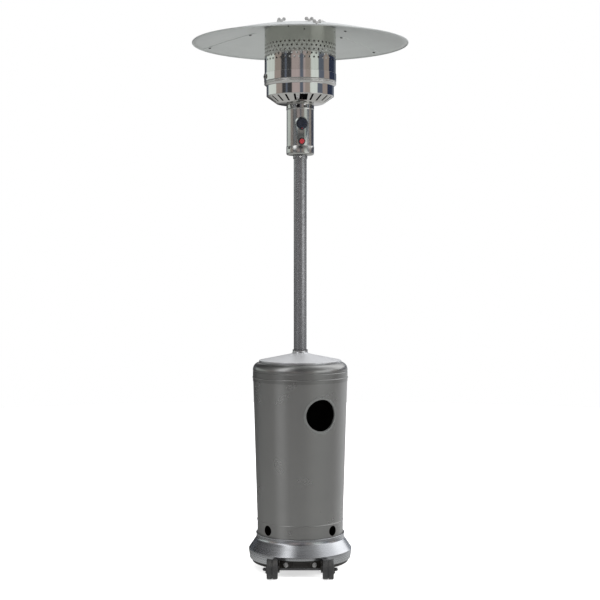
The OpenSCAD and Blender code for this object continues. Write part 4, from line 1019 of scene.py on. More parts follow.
# A wheel moulded in one: tread with a groove, web, six ribs on each side, hub
def makeWheels():
    size = {"radius": 0.0375, "half": 0.021, "hubHalf": 0.0245, "hub": 0.013, "bore": 0.00408, "web": 0.007,
            "rim": 0.0285, "round": 0.005, "groove": 0.0025, "grooveEdge": 0.0004, "ribs": 6,
            "ribThick": 0.0024, "ribReach": 0.0165, "ribSunk": 0.0005, "ribShy": 0.002, "track": 0.212,
            "soft": 0.0008, "fine": 0.0006, "twist": 12}
    r, half, edge, hub, end = read(size, "radius", "half", "round", "hub", "hubHalf")
    web, rim, groove, soft, fine = read(size, "web", "rim", "groove", "soft", "fine")
    upper = [(r, groove + size["grooveEdge"])] + arcPoints(r - edge, half - edge, edge, 0, 90, 6)
    upper += [(rim + fine, half), (rim, half - fine), (rim - soft, web), (hub + fine, web),
              (hub, end - soft), (hub - soft, end), (size["bore"], end)]
    lower = [(x, -z) for x, z in reversed(upper)]
    tread = turnedSolid("tread", lower + arcPoints(r, 0, -groove, 70, -70, 4) + upper, 96)
    ribs = []
    tall, sunk = half - web - size["ribShy"] + size["ribSunk"], size["ribSunk"]
    for k in range(size["ribs"]):
        for side in (-1, 1):
            spot = shiftBy(hub + size["ribReach"] / 2 - sunk, 0, side * (web - sunk + tall / 2))
            rib = boxAt("rib", (size["ribReach"], size["ribThick"], tall),
                        turnBy(360 / size["ribs"] * k) @ spot)
            softEdges(rib, 0.0005, 2)
            ribs.append(rib)
    wheel = gather([tread] + ribs, "wheel")
    made = []
    for side, label, body, nodeName in ((-1, "wheelLeft", "wheel_l", "wheel_left"),
                                        (1, "wheelRight", "wheel_r", "wheel_right")):
        spot = shiftBy(side * size["track"] / 2, axle["y"], axle["z"]) @ turnBy(90, "Y")
        piece = copyOf(wheel, label, spot @ turnBy(size["twist"] * side))
        smooth(piece, 34)
        made.append(mount(piece, body, nodeName, "wheel_plastic", "wheelPlastic"))
    bpy.data.objects.remove(wheel)
    return made


def makeAxleNuts():
    size = {"across": 0.0124, "height": 0.006, "dome": 0.0058, "sunk": 0.0003, "seat": 0.131,
            "edge": 0.0006}
    nut = rodAt("nut", size["across"] / math.sqrt(3), size["height"], shiftBy(0, 0, size["height"] / 2), 6)
    softEdges(nut, size["edge"], 2, 40)
    base = size["height"] - size["sunk"]
    path = [(0, base)]
    for turn in (0, 20, 40, 58, 74):
        path.append((size["dome"] * math.cos(math.radians(turn)),
                     base + size["dome"] * math.sin(math.radians(turn))))
    dome = turnedSolid("dome", path + [(0, base + size["dome"])], 32)
    spots = [shiftBy(side * size["seat"], axle["y"], axle["z"]) @ turnBy(90 * side, "Y")
             for side in (-1, 1)]
    nuts = repeated(gather([nut, dome], "capNut"), "axleNuts", spots)
    smooth(nuts, 30)
    return mount(nuts, "heater", "axle_nuts", "dark_zinc", "darkZinc")


# Pole: drawn tube under hammered paint, its ends deburred
def makePole():
    size = {"outer": 0.0254, "inner": 0.0239, "low": 0.782, "high": 1.650, "burr": 0.0004, "sides": 96}
    out, ins, low, high, burr = read(size, "outer", "inner", "low", "high", "burr")
    path = [(ins, low + burr), (ins + burr, low), (out - burr, low), (out, low + burr), (out, high - burr),
            (out - burr, high), (ins + burr, high), (ins, high - burr)]
    pole = turnedSolid("pole", path, size["sides"])
    smooth(pole, 40)
    return mount(pole, "heater", "pole", "hammered_paint", "hammered")


# Collar that clamps the pole under the housing, slit at the back and pinched by one screw
def makePoleCollar():
    size = {"inner": 0.0255, "outer": 0.0279, "low": 1.6029, "high": 1.6169, "edge": 0.0009, "sides": 96,
            "slit": (0.0022, 0.012, 0.03)}
    ins, out, low, high, edge = read(size, "inner", "outer", "low", "high", "edge")
    path = [(ins, low), (out - edge, low)] + arcPoints(out - edge, low + edge, edge, -90, 0, 4)
    path += arcPoints(out - edge, high - edge, edge, 0, 90, 4) + [(ins, high)]
    collar = turnedSolid("poleCollar", path, size["sides"])
    combine(collar, boxAt("slit", size["slit"], shiftBy(0, ins, (low + high) / 2)), "DIFFERENCE")
    smooth(collar, 34)
    return mount(collar, "heater", "pole_collar", "hammered_paint", "hammered")


# Every pan-headed screw that shows: on the housing's cap, the collar, the lid and the flange
def makeScrews():
    size = {"radius": 0.004, "height": 0.0025, "spin": 0.7, "cap": (0.0542, 1.6425),
            "collar": (0.0281, 1.610), "pole": (0.0286, 0.802), "lid": (0.154, 0, 0.807806)}
    capSpots = [facingFront(headTurn + 60 * k, *size["cap"]) for k in range(6)]
    collarSpots = [facingFront(0, *size["collar"])]
    poleSpots = [facingFront(turn, *size["pole"]) for turn in (90, 270)]
    lidSpots = [turnBy(turn) @ shiftBy(*size["lid"]) for turn in (30, 150, 270)]
    sets = (("capScrews", "heater", "cap_screws", "dark_zinc", "darkZinc", capSpots),
            ("collarScrew", "heater", "collar_screw", "bright_screw", "brightSteel", collarSpots),
            ("poleScrews", "heater", "pole_screws", "bright_screw", "brightSteel", poleSpots),
            ("lidScrews", "cover", "lid_screws", "bright_screw", "brightSteel", lidSpots))
    for name, body, nodeName, slotName, look, spots in sets:
        turned = [spot @ Matrix.Rotation(size["spin"] * k, 4, "Z") for k, spot in enumerate(spots)]
        screws = repeated(panHead("panHead", size["radius"], size["height"]), name, turned)
        smooth(screws, 30)
        mount(screws, body, nodeName, slotName, look)


# Cover of the gas bottle: rolled sheet with a bead over its foot, four vents and the access hole
cover = {"foot": 0.1685, "top": 0.1845, "low": 0.0723, "bead": 0.1903, "beadRadius": 0.002, "lap": 0.7573,
         "shoulder": 0.7353, "sheet": 0.001, "sides": 256, "vent": 0.0195, "ventHeight": 0.1643,
         "ventTurns": (-48, 48, 132, 228), "accessTurn": 26.6, "accessHeight": 0.6153, "accessHole": 0.0631,
         "ventBelow": 0.025, "rings": (0.33, 0.47, 0.545, 0.685, 0.722), "holeDeep": 0.12,
         "accessOut": 0.18, "ventOut": 0.17}
accessRim = {"inner": 0.061, "outer": 0.071, "rings": (0.0703, 0.0685, 0.066, 0.0635, 0.061), "away": 0.02,
             "proud": 0.0023, "sheet": 0.0021, "lip": 0.0015, "neck": 0.0075, "edge": 0.0007,
             "ringSlack": 0.0008, "faceSlack": 0.001, "sides": 96}


def coverPath():
    low, high, bead, edge = read(cover, "foot", "top", "bead", "beadRadius")
    path = [(low, cover["low"]), (low, cover["ventHeight"] - cover["ventBelow"]), (low, bead - edge)]
    path += arcPoints(low, bead, edge, -60, 60, 6) + [(low, bead + edge)]
    for z in cover["rings"]:
        share = (z - bead) / (cover["shoulder"] - bead)
        path.append((low + (high - low) * share, z))
    return path + [(high, cover["shoulder"]), (high, cover["lap"])]


def makeAccessTrim(target):
    # rings of a flat rim, laid on the cover from outside
    spot = facingFront(cover["accessTurn"], cover["top"] + accessRim["away"], cover["accessHeight"])
    deselectAll()
    bpy.ops.mesh.primitive_circle_add(vertices=accessRim["sides"], radius=accessRim["outer"])
    trim = named("accessHoleTrim")
    editPiece(trim)
    selectAll()
    last = accessRim["outer"]
    for radius in accessRim["rings"]:
        extrudeBy(0, 0, 0)
        widenBy(radius / last, 0)
        last = radius
    backToObject()
    trim.matrix_world = spot
    addModifier(trim, "SHRINKWRAP", target=target, wrap_method="PROJECT", use_project_z=True,
                use_positive_direction=False, use_negative_direction=True, offset=accessRim["proud"])
    place(trim, spot)
    return trim, spot


def makeCover():
    shell = spunSheet("bottleCover", coverPath(), 0, cover["sides"])
    trim, spot = makeAccessTrim(shell)
    inward = -(spot.to_3x3() @ Vector((0, 0, 1)))
    middle = Vector(spot.translation)

    def nearHole(co, slack):
        across = (co - middle) - inward * (co - middle).dot(inward)
        return across.length < accessRim["inner"] + slack

    pick(trim, "VERT", lambda co: nearHole(co, accessRim["ringSlack"]))
    for reach in (accessRim["lip"], accessRim["neck"]):
        extrudeBy(*(inward * reach))
    faceOutwards()
    rim = [f for f in trim.data.polygons if not nearHole(f.center, accessRim["faceSlack"])]
    if rim[0].normal.dot(inward) > 0:
        flip(trim)
    thicken(trim, accessRim["sheet"])
    softEdges(trim, accessRim["edge"], 3, 50)
    smooth(trim, 32)
    mount(trim, "cover", "access_hole_trim", "grey_paint", "trimPaint")
    dress(shell, "coverPaint", "shadeLining")
    # the inner faces take the near-black lining, painted shade inside the cover
    thicken(shell, cover["sheet"], 1)
    deep = cover["holeDeep"]
    accessSpot = facingFront(cover["accessTurn"], cover["accessOut"], cover["accessHeight"])
    holes = [rodAt("hole", cover["accessHole"], deep, accessSpot, 96)]
    ventSpots = [facingFront(turn, cover["ventOut"], cover["ventHeight"]) for turn in cover["ventTurns"]]
    holes += [rodAt("hole", cover["vent"], deep, spot, 64) for spot in ventSpots]
    cutOut(shell, holes)
    smooth(shell, 30)
    return mount(shell, "cover", "cylinder_cover", "grey_paint")


def makeShoulder():
    size = {"outer": 0.1858, "low": 0.7353, "bead": 0.7493, "beadRadius": 0.002, "beadEnd": 0.0003,
            "groove": 0.7738, "grooveDepth": 0.0011, "grooveFloor": 0.0008, "grooveReach": 0.0022,
            "round": 0.030, "bend": 0.1558, "bendHeight": 0.7793, "seat": 0.147, "seatHeight": 0.806706,
            "sheet": 0.001}
    out, bead, edge = read(size, "outer", "bead", "beadRadius")
    groove, deep, half, reach = read(size, "groove", "grooveDepth", "grooveFloor", "grooveReach")
    path = [(out, size["low"]), (out, bead - edge)] + arcPoints(out, bead, edge, -60, 60, 6)
    path += [(out, bead + edge + size["beadEnd"]), (out, groove - reach), (out - deep, groove - half),
             (out - deep, groove + half), (out, groove + reach)]
    path += arcPoints(size["bend"], size["bendHeight"], size["round"], 0, 66, 14)
    shell = spunSheet("coverShoulder", path + [(size["seat"], size["seatHeight"])], 0, cover["sides"])
    # the shoulder wears the cover's paint darkened as painted shade
    dress(shell, "shoulderPaintShaded", "shadeLining")
    # the inner faces take the near-black lining, painted shade inside the shoulder
    thicken(shell, size["sheet"], 1)
    smooth(shell, 38)
    return mount(shell, "cover", "cover_shoulder", "grey_paint")


def makeLid():
    size = {"edge": 0.161, "seat": 0.147, "low": 0.806806, "shoulder": 0.815806, "top": 0.841806,
            "round": 0.002, "burr": 0.0008, "coneEnd": 0.034, "rings": (0.140, 0.110, 0.080, 0.055, 0.0385),
            "collarFoot": ((0.0340, 0.0004), (0.0313, 0.0018), (0.0298, 0.0048)), "collar": 0.0298,
            "collarTop": 0.853806, "sheet": 0.001}
    r, low, turn, burr, shoulder, top = read(size, "edge", "low", "round", "burr", "shoulder", "top")
    path = [(size["seat"], low), (r - burr, low), (r, low + burr), (r, shoulder - turn)]
    path += arcPoints(r - turn, shoulder - turn, turn, 15, 78, 5)
    slope = (top - shoulder) / (r - size["coneEnd"])
    path += [(radius, shoulder + slope * (r - turn - radius)) for radius in size["rings"]]
    path += [(radius, top + up) for radius, up in size["collarFoot"]]
    path.append((size["collar"], size["collarTop"]))
    lid = spunSheet("coverLid", path, size["sheet"], cover["sides"])
    smooth(lid, 40)
    return mount(lid, "cover", "cover_lid", "grey_paint", "lidPaint")


def makeBush():
    size = {"inner": 0.0257, "outer": 0.0287, "lip": 0.0297, "low": 0.8378, "shelf": 0.8539, "top": 0.8569,
            "edge": 0.0007, "sides": 96}
    ins, out, lip, edge, top = read(size, "inner", "outer", "lip", "edge", "top")
    path = [(ins, size["low"]), (out, size["low"]), (out, size["shelf"]), (lip, size["shelf"])]
    path += arcPoints(lip - edge, top - edge, edge, 0, 90, 4)
    bush = turnedSolid("lidBush", path + [(ins + edge, top), (ins, top - edge)], size["sides"])
    smooth(bush, 34)
    return mount(bush, "cover", "lid_bush", "black_plastic", "bushPlastic")


for make in (makeBasePlate, makeFeet, makeTrimRing, makeBracketBolts, makeWheels, makeAxleNuts, makePole,
             makePoleCollar, makeScrews, makeCover, makeShoulder, makeLid, makeBush):
    make()
print("stage: base, wheels, pole and cover")


# Head: control housing, burner, emitter and reflector
def turnOf(co):
    return bearingOf(co) - headTurn


def cutWindows(piece, low, high):
    # twelve windows of five columns each, between two rings
    pitch, first, half = 30, 15, 7.4

    def inside(co):
        away = (turnOf(co) - first) % pitch
        return low < co.z < high and min(away, pitch - away) < half

    cutAway(piece, inside)


def makeHousing():
    size = {"radius": 0.053, "low": 1.634, "rings": (1.70, 1.77), "windowLow": 1.7975, "windowHigh": 1.8105,
            "top": 1.816, "sheet": 0.001, "sides": 120, "turned": math.radians(2), "boss": (0.0087, 1.735),
            "bezel": (0.0111, 1.667), "holeDeep": 0.03, "collar": 0.0541, "collarLow": 1.792,
            "collarSheet": 0.0009, "burr": (0.0004, 0.0006)}
    r, low, high, top = read(size, "radius", "windowLow", "windowHigh", "top")
    path = [(r, z) for z in (size["low"],) + size["rings"] + (low, high, top)]
    tube = spunSheet("controlHousing", path, 0, size["sides"], size["turned"])
    cutWindows(tube, low, high)
    thicken(tube, size["sheet"])
    holes = [rodAt("hole", radius, size["holeDeep"], facingFront(headTurn, r, height), 48)
             for radius, height in (size["boss"], size["bezel"])]
    cutOut(tube, holes)
    smooth(tube, 30)
    mount(tube, "heater", "control_housing", "dial_steel", "housingSteel")

    out, foot, (inward, up) = read(size, "collar", "collarLow", "burr")
    path = [(out - inward, foot), (out, foot + up), (out, low), (out, high), (out, top - up),
            (out - inward, top)]
    collar = spunSheet("ventCollar", path, 0, size["sides"], size["turned"])
    cutWindows(collar, low, high)
    thicken(collar, size["collarSheet"])
    smooth(collar, 40)
    return mount(collar, "heater", "vent_collar", "polished_steel", "housingSteel")


def makeCap():
    size = {"neck": 0.0255, "neckTop": 1.650, "low": 1.617, "round": 0.007, "outer": 0.0541, "top": 1.651,
            "lipRound": 0.0007, "burr": 0.0008, "sheet": 0.001, "sides": 144}
    neck, low, out, turn, lip, burr = read(size, "neck", "low", "outer", "round", "lipRound", "burr")
    path = [(neck, size["neckTop"]), (neck, low + burr), (neck + burr, low)]
    path += arcPoints(out - turn, low + turn, turn, -90, 0, 10)
    path += [(out, size["top"] - lip), (out - lip * 0.4, size["top"])]
    cap = spunSheet("housingCap", path, size["sheet"], size["sides"])
    smooth(cap, 40)
    return mount(cap, "heater", "housing_cap", "polished_steel", "housingSteel")


# Dial plate: one outline round a large and a small circle, lying on the housing
def makeDial():
    # each round: radius of the outline, radius of its hole, height
    size = {"inner": 0.0531, "outer": 0.0545, "low": 1.647, "high": 1.765, "out": 0.056,
            "outlineDeep": 0.03, "rounds": ((0.027, 0.0087, 1.735), (0.0157, 0.0112, 1.667)),
            "holeDeep": 0.04, "edge": 0.0003, "sides": 240}
    ins, out, low, high = read(size, "inner", "outer", "low", "high")
    spots = [facingFront(headTurn, size["out"], height) for radius, hole, height in size["rounds"]]
    outline = [rodAt("round", radius, size["outlineDeep"], spot, 96)
               for (radius, hole, height), spot in zip(size["rounds"], spots)]
    stencil = gather(outline, "stencil")
    editPiece(stencil)
    selectAll()
    bpy.ops.mesh.convex_hull()
    backToObject()
    holes = [rodAt("hole", hole, size["holeDeep"], spot, 48)
             for (radius, hole, height), spot in zip(size["rounds"], spots)]
    cutOut(stencil, holes)
    dial = turnedSolid("dialPlate", [(ins, low), (out, low), (out, high), (ins, high)], size["sides"])
    combine(dial, stencil, "INTERSECT")
    softEdges(dial, size["edge"], 2, 60)
    smooth(dial, 30)
    return mount(dial, "heater", "dial_plate", "dial_steel", "dialSteel")


def makeKnob():
    size = {"back": 0.0588, "height": 1.735, "radius": 0.0225, "burr": (0.0004, 0.0006), "skirt": 0.0063,
            "skirtEnd": 0.0012, "skirtIn": 0.0014, "skirtRound": 0.0010, "grip": 0.01755, "gripIn": 0.0008,
            "foot": ((0.0009, 0.0001), (0.0001, 0.0009)), "depth": 0.018, "edge": 0.0012,
            "face": ((0.0115, 0.0001), (0.0108, 0.0007), (0, 0.0008)), "flutes": 10, "flute": 0.0035,
            "fluteOut": 0.0022, "fluteUp": 0.0012, "soft": 0.0004, "sides": 120,
            "mark": (0.0038, 0.0037, 0.0013), "markOut": 0.0195, "markUp": 0.0006}
    r, grip, deep, edge, skirt, turn = read(size, "radius", "grip", "depth", "edge", "skirt", "skirtRound")
    spot = facingFront(headTurn, size["back"], size["height"])
    inward, up = size["burr"]
    path = [(0, 0), (r - inward, 0), (r, up), (r - inward, skirt - size["skirtEnd"])]
    path += arcPoints(r - size["skirtIn"], skirt - turn, turn, 0, 90, 4)
    path += [(grip + out, skirt + rise) for out, rise in size["foot"]]
    path += arcPoints(grip - size["gripIn"] - edge, deep - edge, edge, 0, 90, 4)
    body = turnedSolid("controlKnob", path + [(x, deep - down) for x, down in size["face"]], size["sides"])
    pitch, middle = 360 / size["flutes"], skirt + size["fluteUp"] + deep / 2
    cutters = [rodAt("flute", size["flute"], deep,
                     turnBy(pitch * (k + 0.5)) @ shiftBy(grip + size["fluteOut"], 0, middle), 24)
               for k in range(size["flutes"])]
    cutOut(body, cutters)
    softEdges(body, size["soft"], 2, 40)
    place(body, spot)
    smooth(body, 34)
    mount(body, "knob", "control_knob", "knob_plastic", "knobPlastic")

    mark = boxAt("knobPointer", size["mark"], shiftBy(0, -size["markOut"], skirt + size["markUp"]))
    softEdges(mark, size["soft"], 3, 40)
    place(mark, spot)
    smooth(mark, 40)
    return mount(mark, "knob", "knob_pointer", "red_plastic", "pointerRed")


def makeIgniter():
    size = {"seat": 0.0546, "height": 1.667, "outer": 0.0135, "thick": 0.004, "bore": 0.00962,
            "neck": 0.011, "back": 0.014, "burr": (0.0002, 0.0004), "round": 0.0016,
            "boreEdge": ((0.0008, 0.0001), (0, 0.0009)), "buttonSeat": 0.0545, "button": 0.0095,
            "sunk": 0.001, "proud": 0.009, "buttonRound": 0.0014, "buttonDrop": 0.0018,
            "crown": ((0.7, 0.0001), (0.4, 0.0004), (0, 0.0007)), "stem": 0.004, "stemLong": 0.0135,
            "stemMiddle": 0.0077}
    out, thick, bore, neck, back, turn = read(size, "outer", "thick", "bore", "neck", "back", "round")
    inward, up = size["burr"]
    path = [(bore, -back), (neck, -back), (neck, 0), (out - inward, 0), (out, up)]
    path += arcPoints(out - turn, thick - turn, turn, 0, 90, 5)
    path += [(bore + wider, thick - down) for wider, down in size["boreEdge"]]
    bezel = turnedSolid("igniterBezel", path, 72)
    place(bezel, facingFront(headTurn, size["seat"], size["height"]))
    smooth(bezel, 34)
    mount(bezel, "heater", "igniter_bezel", "black_plastic", "blackPlastic")

    r, top, turn, sunk = read(size, "button", "proud", "buttonRound", "sunk")
    path = [(0, -sunk), (r, -sunk)] + arcPoints(r - turn, top - size["buttonDrop"], turn, 0, 68, 5)
    path += [(r * share, top - down) for share, down in size["crown"]]
    button = turnedSolid("igniterButton", path, 64)
    stem = rodAt("stem", size["stem"], size["stemLong"], shiftBy(0, 0, -size["stemMiddle"]), 32)
    button = gather([button, stem], "igniterButton")
    place(button, facingFront(headTurn, size["buttonSeat"], size["height"]))
    smooth(button, 40)
    return mount(button, "button", "igniter_button", "red_plastic", "redPlastic")


# Burner cone: a flat bottom and a slotted flare, with one wide window for lighting
def makeCone():
    size = {"hole": 0.030, "flat": 0.091, "outer": 0.1304, "low": 1.8161, "high": 1.8441, "lap": 1.8521,
            "footBend": ((-0.002, 0), (0.0016, 0.0012)), "topBend": ((-0.0012, -0.0009), (0, 0.0014)),
            "sheet": 0.001, "sides": 176, "slots": 22, "slot": 0.008, "window": 0.031, "slotStart": 0.0959,
            "slotEnd": 0.1266, "slotTall": 0.08, "slotUp": 0.02, "slotRound": 0.0022}
    outer, low = size["outer"], size["low"]
    path = [(size["hole"], low)] + [(size["flat"] + out, low + up) for out, up in size["footBend"]]
    path += [(outer + out, size["high"] + up) for out, up in size["topBend"]] + [(outer, size["lap"])]
    cone = spunSheet("burnerCone", path, size["sheet"], size["sides"])
    reach, middle = size["slotEnd"] - size["slotStart"], (size["slotEnd"] + size["slotStart"]) / 2
    cutters = []
    for k in range(size["slots"]):
        wide = size["window"] if k == 0 else size["slot"]
        spot = turnBy(headTurn + 360 * k / size["slots"]) @ shiftBy(0, -middle, low + size["slotUp"])
        slot = boxAt("slot", (wide, reach, size["slotTall"]), spot)
        takeUp(slot)
        addModifier(slot, "BEVEL", width=size["slotRound"], segments=3, limit_method="ANGLE",
                    angle_limit=math.radians(40))
        cutters.append(slot)
    cutOut(cone, cutters)
    smooth(cone, 32)
    return mount(cone, "heater", "burner_cone", "polished_steel", "drumSteel")


def makeDrum():
    size = {"radius": 0.1315, "low": 1.8441, "high": 1.8851, "bead": 0.1372, "beadRound": 0.0032,
            "foot": ((-0.0003, 0), (0, 0.0005), (0, 0.0015)), "ledge": (0.1366, 1.8878),
            "bend": ((0, -0.0025), (0, -0.001), (0.0006, 0.0002)), "beads": (1.8923, 1.8987),
            "screenLow": 1.9019, "spigot": 0.1381, "spigotTop": 1.9119, "sheet": 0.001, "sides": 192}
    r, bead, spigot, screenLow = read(size, "radius", "bead", "spigot", "screenLow")
    path = [(r + out, size["low"] + up) for out, up in size["foot"]]
    path += [(r + out, size["high"] + up) for out, up in size["bend"]] + [size["ledge"]]
    for z in size["beads"]:
        path += arcPoints(bead, z, size["beadRound"], -62, 62, 8)
    path += [(bead, screenLow), (spigot, screenLow), (spigot, size["spigotTop"])]
    drum = spunSheet("burnerDrum", path, size["sheet"], size["sides"])
    smooth(drum, 46)
    return mount(drum, "heater", "burner_drum", "polished_steel", "drumSteel")


# Emitter screen: one cell with its hole, laid side by side and rolled into a ring for each row
def makeScreen():
    size = {"radius": 0.139, "holes": 46, "rows": 5, "pitch": 0.015, "hole": 0.004, "topRow": 2.04059,
            "low": 1.9019, "midLow": 1.950, "midHigh": 2.075, "high": 2.1029, "sheet": 0.0008, "inset": 0.4,
            "seamGap": 0.0001, "ringGap": 0.0002, "edgeSlack": 0.0003}
    around = 2 * math.pi * size["radius"]
    wide, tall, upright = around / size["holes"], size["pitch"], (math.radians(90), 0, 0)
    deselectAll()
    bpy.ops.mesh.primitive_plane_add(size=1, rotation=upright)
    cell = named("cell")
    editPiece(cell)
    selectAll()
    bpy.ops.transform.resize(value=(wide, 1, tall), center_override=(0, 0, 0))
    bpy.ops.mesh.subdivide(number_cuts=3)
    backToObject()
    pick(cell, "VERT", lambda co: abs(co.x) < size["inset"] * wide and abs(co.z) < size["inset"] * tall)
    bpy.ops.mesh.delete(type="VERT")
    selectNone()
    bpy.ops.mesh.primitive_circle_add(vertices=16, radius=size["hole"], rotation=upright)
    selectAll()
    bpy.ops.mesh.bridge_edge_loops()
    backToObject()
    addModifier(cell, "ARRAY", count=size["holes"], use_relative_offset=False, use_constant_offset=True,
                constant_offset_displace=(wide, 0, 0), use_merge_vertices=True,
                merge_threshold=size["seamGap"])
    place(cell, shiftBy(-around / 2 + wide / 2, 0, 0))
    addModifier(cell, "SIMPLE_DEFORM", deform_method="BEND", deform_axis="Z", angle=2 * math.pi)
    place(cell, shiftBy(0, -size["radius"], 0))
    # each row is turned by half a cell against the one above
    halfCell = math.pi / size["holes"]
    turns = [shiftBy(0, 0, size["topRow"] - row * tall)
             @ Matrix.Rotation(math.radians(headTurn) + (row - 1) * halfCell, 4, "Z")
             for row in range(size["rows"])]
    screen = repeated(cell, "emitterScreen", turns)
    editPiece(screen)
    selectAll()
    bpy.ops.mesh.remove_doubles(threshold=size["ringGap"])
    backToObject()
    rowsHigh, rowsLow = size["topRow"] + tall / 2, size["topRow"] - (size["rows"] - 0.5) * tall
    plain = ((rowsHigh, size["midHigh"], size["high"]), (rowsLow, size["midLow"], size["low"]))
    for edge, *levels in plain:
        pick(screen, "EDGE", lambda co: abs(co.z - edge) < size["edgeSlack"])
        last = edge
        for level in levels:
            extrudeBy(0, 0, level - last)
            last = level
        backToObject()
    editPiece(screen)
    faceOutwards()
    face = screen.data.polygons[0]
    if face.normal.dot(Vector((face.center.x, face.center.y, 0))) < 0:
        flip(screen)
    dress(screen, "screenSteel", "screenLining")
    thicken(screen, size["sheet"], 1)
    smooth(screen, 32)
    return mount(screen, "heater", "emitter_screen", "polished_steel")


def makeBand():
    size = {"inner": 0.1391, "outer": 0.1408, "low": 1.9019, "high": 1.9319, "edge": 0.0005, "sides": 192,
            "clampTurn": -72, "clampOut": 0.139, "block": (0.022, 0.016, 0.0058), "blockGap": 0.0001,
            "blockSoft": 0.0005, "bolt": (0.0072, 0.0022), "boltAside": 0.0055}
    ins, out, low, high, edge = read(size, "inner", "outer", "low", "high", "edge")
    path = [(ins, low), (out - edge, low), (out, low + edge), (out, high - edge), (out - edge, high),
            (ins, high)]
    band = turnedSolid("emitterBand", path, size["sides"])
    smooth(band, 30)
    mount(band, "heater", "emitter_band", "polished_steel", "drumSteel")

    middle, proud = (low + high) / 2, size["block"][2]
    spot = facingFront(size["clampTurn"], size["clampOut"], middle)
    block = boxAt("bandClamp", size["block"], spot @ shiftBy(0, 0, proud / 2))
    curve = rodAt("curve", out + size["blockGap"], 0.05, shiftBy(0, 0, middle), size["sides"])
    combine(block, curve, "DIFFERENCE")
    softEdges(block, size["blockSoft"], 2, 40)
    dress(block, "clampSteel")
    heads = [hexHead("clampBolt", *size["bolt"]) for side in (-1, 1)]
    for side, head in zip((-1, 1), heads):
        place(head, spot @ shiftBy(side * size["boltAside"], 0, proud))
        dress(head, "darkZinc")
    clamp = gather([block] + heads, "bandClamp")
    smooth(clamp, 30)
    return mount(clamp, "heater", "band_clamp", "clamp_steel")


# Reflector: three panels over a centre plate, each with a rolled rim and a lap under its neighbour
dome = {"rim": 2.0494, "rise": 0.078, "radius": 0.421, "power": 1.5, "sheet": 0.0012, "layer": 0.0013,
        "roll": 0.0026, "inner": 0.150, "centre": 0.190, "seam": 37, "lap": 4, "steps": 16,
        "rollGap": 0.003, "underlap": 0.001, "sides": 180, "lapSides": 360, "lapTuck": 1, "turn": 0.12,
        "turned": math.radians(1)}


def domeHeight(radius):
    return dome["rim"] + dome["rise"] * (1 - (radius / dome["radius"]) ** dome["power"])


def domePath(outer, inner, drop):
    radii = [outer + (inner - outer) * k / dome["steps"] for k in range(dome["steps"] + 1)]
    return [(r, domeHeight(r) - drop) for r in radii]


def keepSector(piece, start, end):
    def outside(co):
        turn = (math.degrees(math.atan2(co.y, co.x)) - start) % 360
        return turn > end - start

    cutAway(piece, outside)


def makePanels():
    sheet, layer, roll, turned, sides = read(dome, "sheet", "layer", "roll", "turned", "sides")
    edge = dome["radius"] - roll
    rolled = arcPoints(edge, domeHeight(edge) - sheet / 2, roll, -200, 62, 14)
    rolled += domePath(edge - dome["rollGap"], dome["inner"], 0)
    lapPath = domePath(dome["radius"] - 3 * roll, dome["centre"] + dome["underlap"], layer)
    for k, (label, nodeName) in enumerate((("reflectorPanelBack", "reflector_panel_back"),
                                           ("reflectorPanelLeft", "reflector_panel_left"),
                                           ("reflectorPanelRight", "reflector_panel_right"))):
        start = dome["seam"] + 120 * k
        panel = spunSheet(label, rolled, 0, sides, turned)
        keepSector(panel, start, start + 120)
        thicken(panel, sheet)
        lap = spunSheet("lap", lapPath, 0, dome["lapSides"], turned)
        keepSector(lap, start + 120 - dome["lapTuck"], start + 120 + dome["lap"])
        thicken(lap, sheet)
        panel = gather([panel, lap], label)
        place(panel, turnBy(dome["turn"]))
        smooth(panel, 35)
        mount(panel, "heater", nodeName, "reflector_aluminium", "aluminium")
    plate = spunSheet("reflectorCentrePlate", domePath(dome["centre"], 0, layer), sheet, sides)
    smooth(plate, 40)
    return mount(plate, "heater", "reflector_centre_plate", "reflector_aluminium", "aluminium")


def onDome(turn, radius, height=None):
    # leans with the dome, or stands upright when a height is given
    rise = dome["power"] * dome["rise"] / dome["radius"] * (radius / dome["radius"]) ** (dome["power"] - 1)
    lean = 0 if height else math.atan(rise)
    spot = turnBy(turn) @ shiftBy(radius, 0, height or domeHeight(radius))
    return spot @ Matrix.Rotation(lean, 4, "Y")


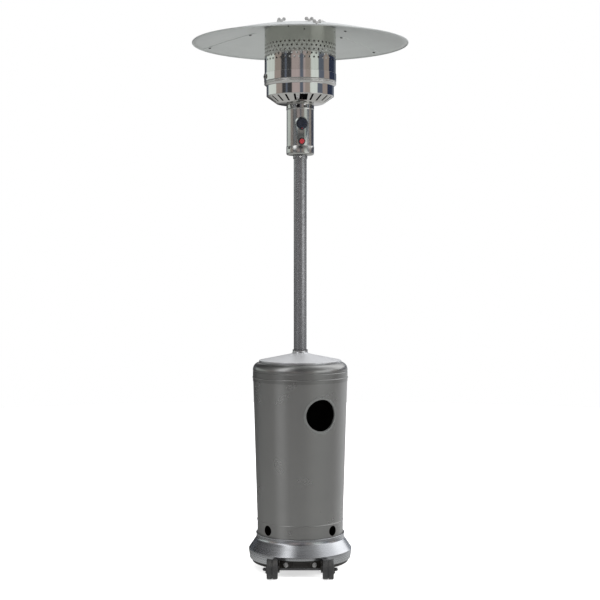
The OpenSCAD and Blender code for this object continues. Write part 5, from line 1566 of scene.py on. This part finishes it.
# Wing nuts on bolts through the seams, the centre plate and the studs
def makeFasteners():
    size = {"hub": 0.006, "hubTop": 0.0048, "hubFoot": 0.0012, "hubRound": (0.0008, 0.0007),
            "height": 0.009, "wing": 0.007, "wingThick": 0.0026, "wingOut": 0.010, "wingSoft": 0.0009,
            "bolt": 0.003, "boltLow": 0.001, "boltShy": 0.0001,
            "boltEnd": ((0.0001, -0.0004), (0.0006, 0.0002)), "head": 0.0055, "headHeight": 0.002,
            "headEdge": 0.0004, "under": 0.0028, "seat": 0.0003, "studs": (0.100, 0.094),
            "spots": ((-30, 0.178), (dome["lap"] / 2, 0.212), (dome["lap"] / 2, 0.388))}
    bolt, tall, head, under = read(size, "bolt", "height", "head", "under")
    down, inward = size["hubRound"]
    hub = turnedSolid("hub", [(bolt, 0), (size["hub"], 0), (size["hub"], size["hubFoot"]),
                              (size["hubTop"], tall - down), (size["hubTop"] - inward, tall),
                              (bolt, tall)], 24)
    wings = []
    for side in (-1, 1):
        spot = shiftBy(side * size["wingOut"], 0, tall) @ turnBy(90, "X")
        wing = rodAt("wing", size["wing"], size["wingThick"], spot, 24)
        softEdges(wing, size["wingSoft"], 2, 40)
        wings.append(wing)
    tip = [(bolt - shy, tall + up) for shy, up in size["boltEnd"]]
    path = [(0, -size["boltLow"]), (bolt - size["boltShy"], -size["boltLow"])] + tip + [(0, tip[-1][1])]
    nut = gather([hub, turnedSolid("boltEnd", path, 20)] + wings, "wingNut")
    low = -under - size["headHeight"]
    path = [(0, low), (head * 0.6, low), (head * 0.92, -under - size["headHeight"] * 0.6),
            (head, -under - size["headEdge"]), (head, -under), (0, -under)]
    roundHead = turnedSolid("roundHead", path, 28)
    quarter = turnBy(90)
    nutSpots, headSpots = [], []
    for k in range(3):
        turn = dome["seam"] + 120 * k
        stud, studHeight = size["studs"]
        nutSpots.append(onDome(turn + 60, stud, domeHeight(studHeight) - dome["sheet"]) @ quarter)
        for away, radius in size["spots"]:
            spot = onDome(turn + away, radius)
            nutSpots.append(spot @ shiftBy(0, 0, size["seat"]) @ quarter)
            headSpots.append(spot)
    dress(nut, "brightSteel")
    dress(roundHead, "darkZinc")
    nuts = repeated(nut, "wingNuts", nutSpots)
    heads = repeated(roundHead, "roundHeads", headSpots)
    fasteners = gather([nuts, heads], "panelFasteners")
    smooth(fasteners, 32)
    return mount(fasteners, "heater", "panel_fasteners", "dark_zinc")


for make in (makeHousing, makeCap, makeDial, makeKnob, makeIgniter, makeCone, makeDrum, makeScreen,
             makeBand, makePanels, makeFasteners):
    make()
print("stage: head and reflector")

# The solids that stay as CAD made them, under the finish they wear
keptLooks = {
    "zinc": ("leg_left", "leg_right", "leg_back", "pole_flange", "pilot_burner", "stud_spacers"),
    "brightSteel": ("leg_bolts", "flange_bolts", "reflector_studs"),
    "basePaint": ("top_mount_plate", "wheel_brackets"), "axleSteel": ("wheel_axle",),
    "brass": ("valve_stem", "valve_inlet", "injector"), "valveAlloy": ("gas_valve",),
    "copper": ("gas_riser", "thermocouple"), "burnerSteel": ("mixing_tube", "burner_head"),
    "ceramic": ("piezo_igniter", "igniter_electrode"), "blackPlastic": ("tilt_switch",),
    "drumSteel": ("emitter_top",),
}
for look, nodeNames in keptLooks.items():
    for nodeName in nodeNames:
        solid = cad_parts[nodeName]
        solid.data.materials.clear()
        dress(solid, look)
print("stage:", sum(len(nodeNames) for nodeNames in keptLooks.values()), "solids kept from the frame")
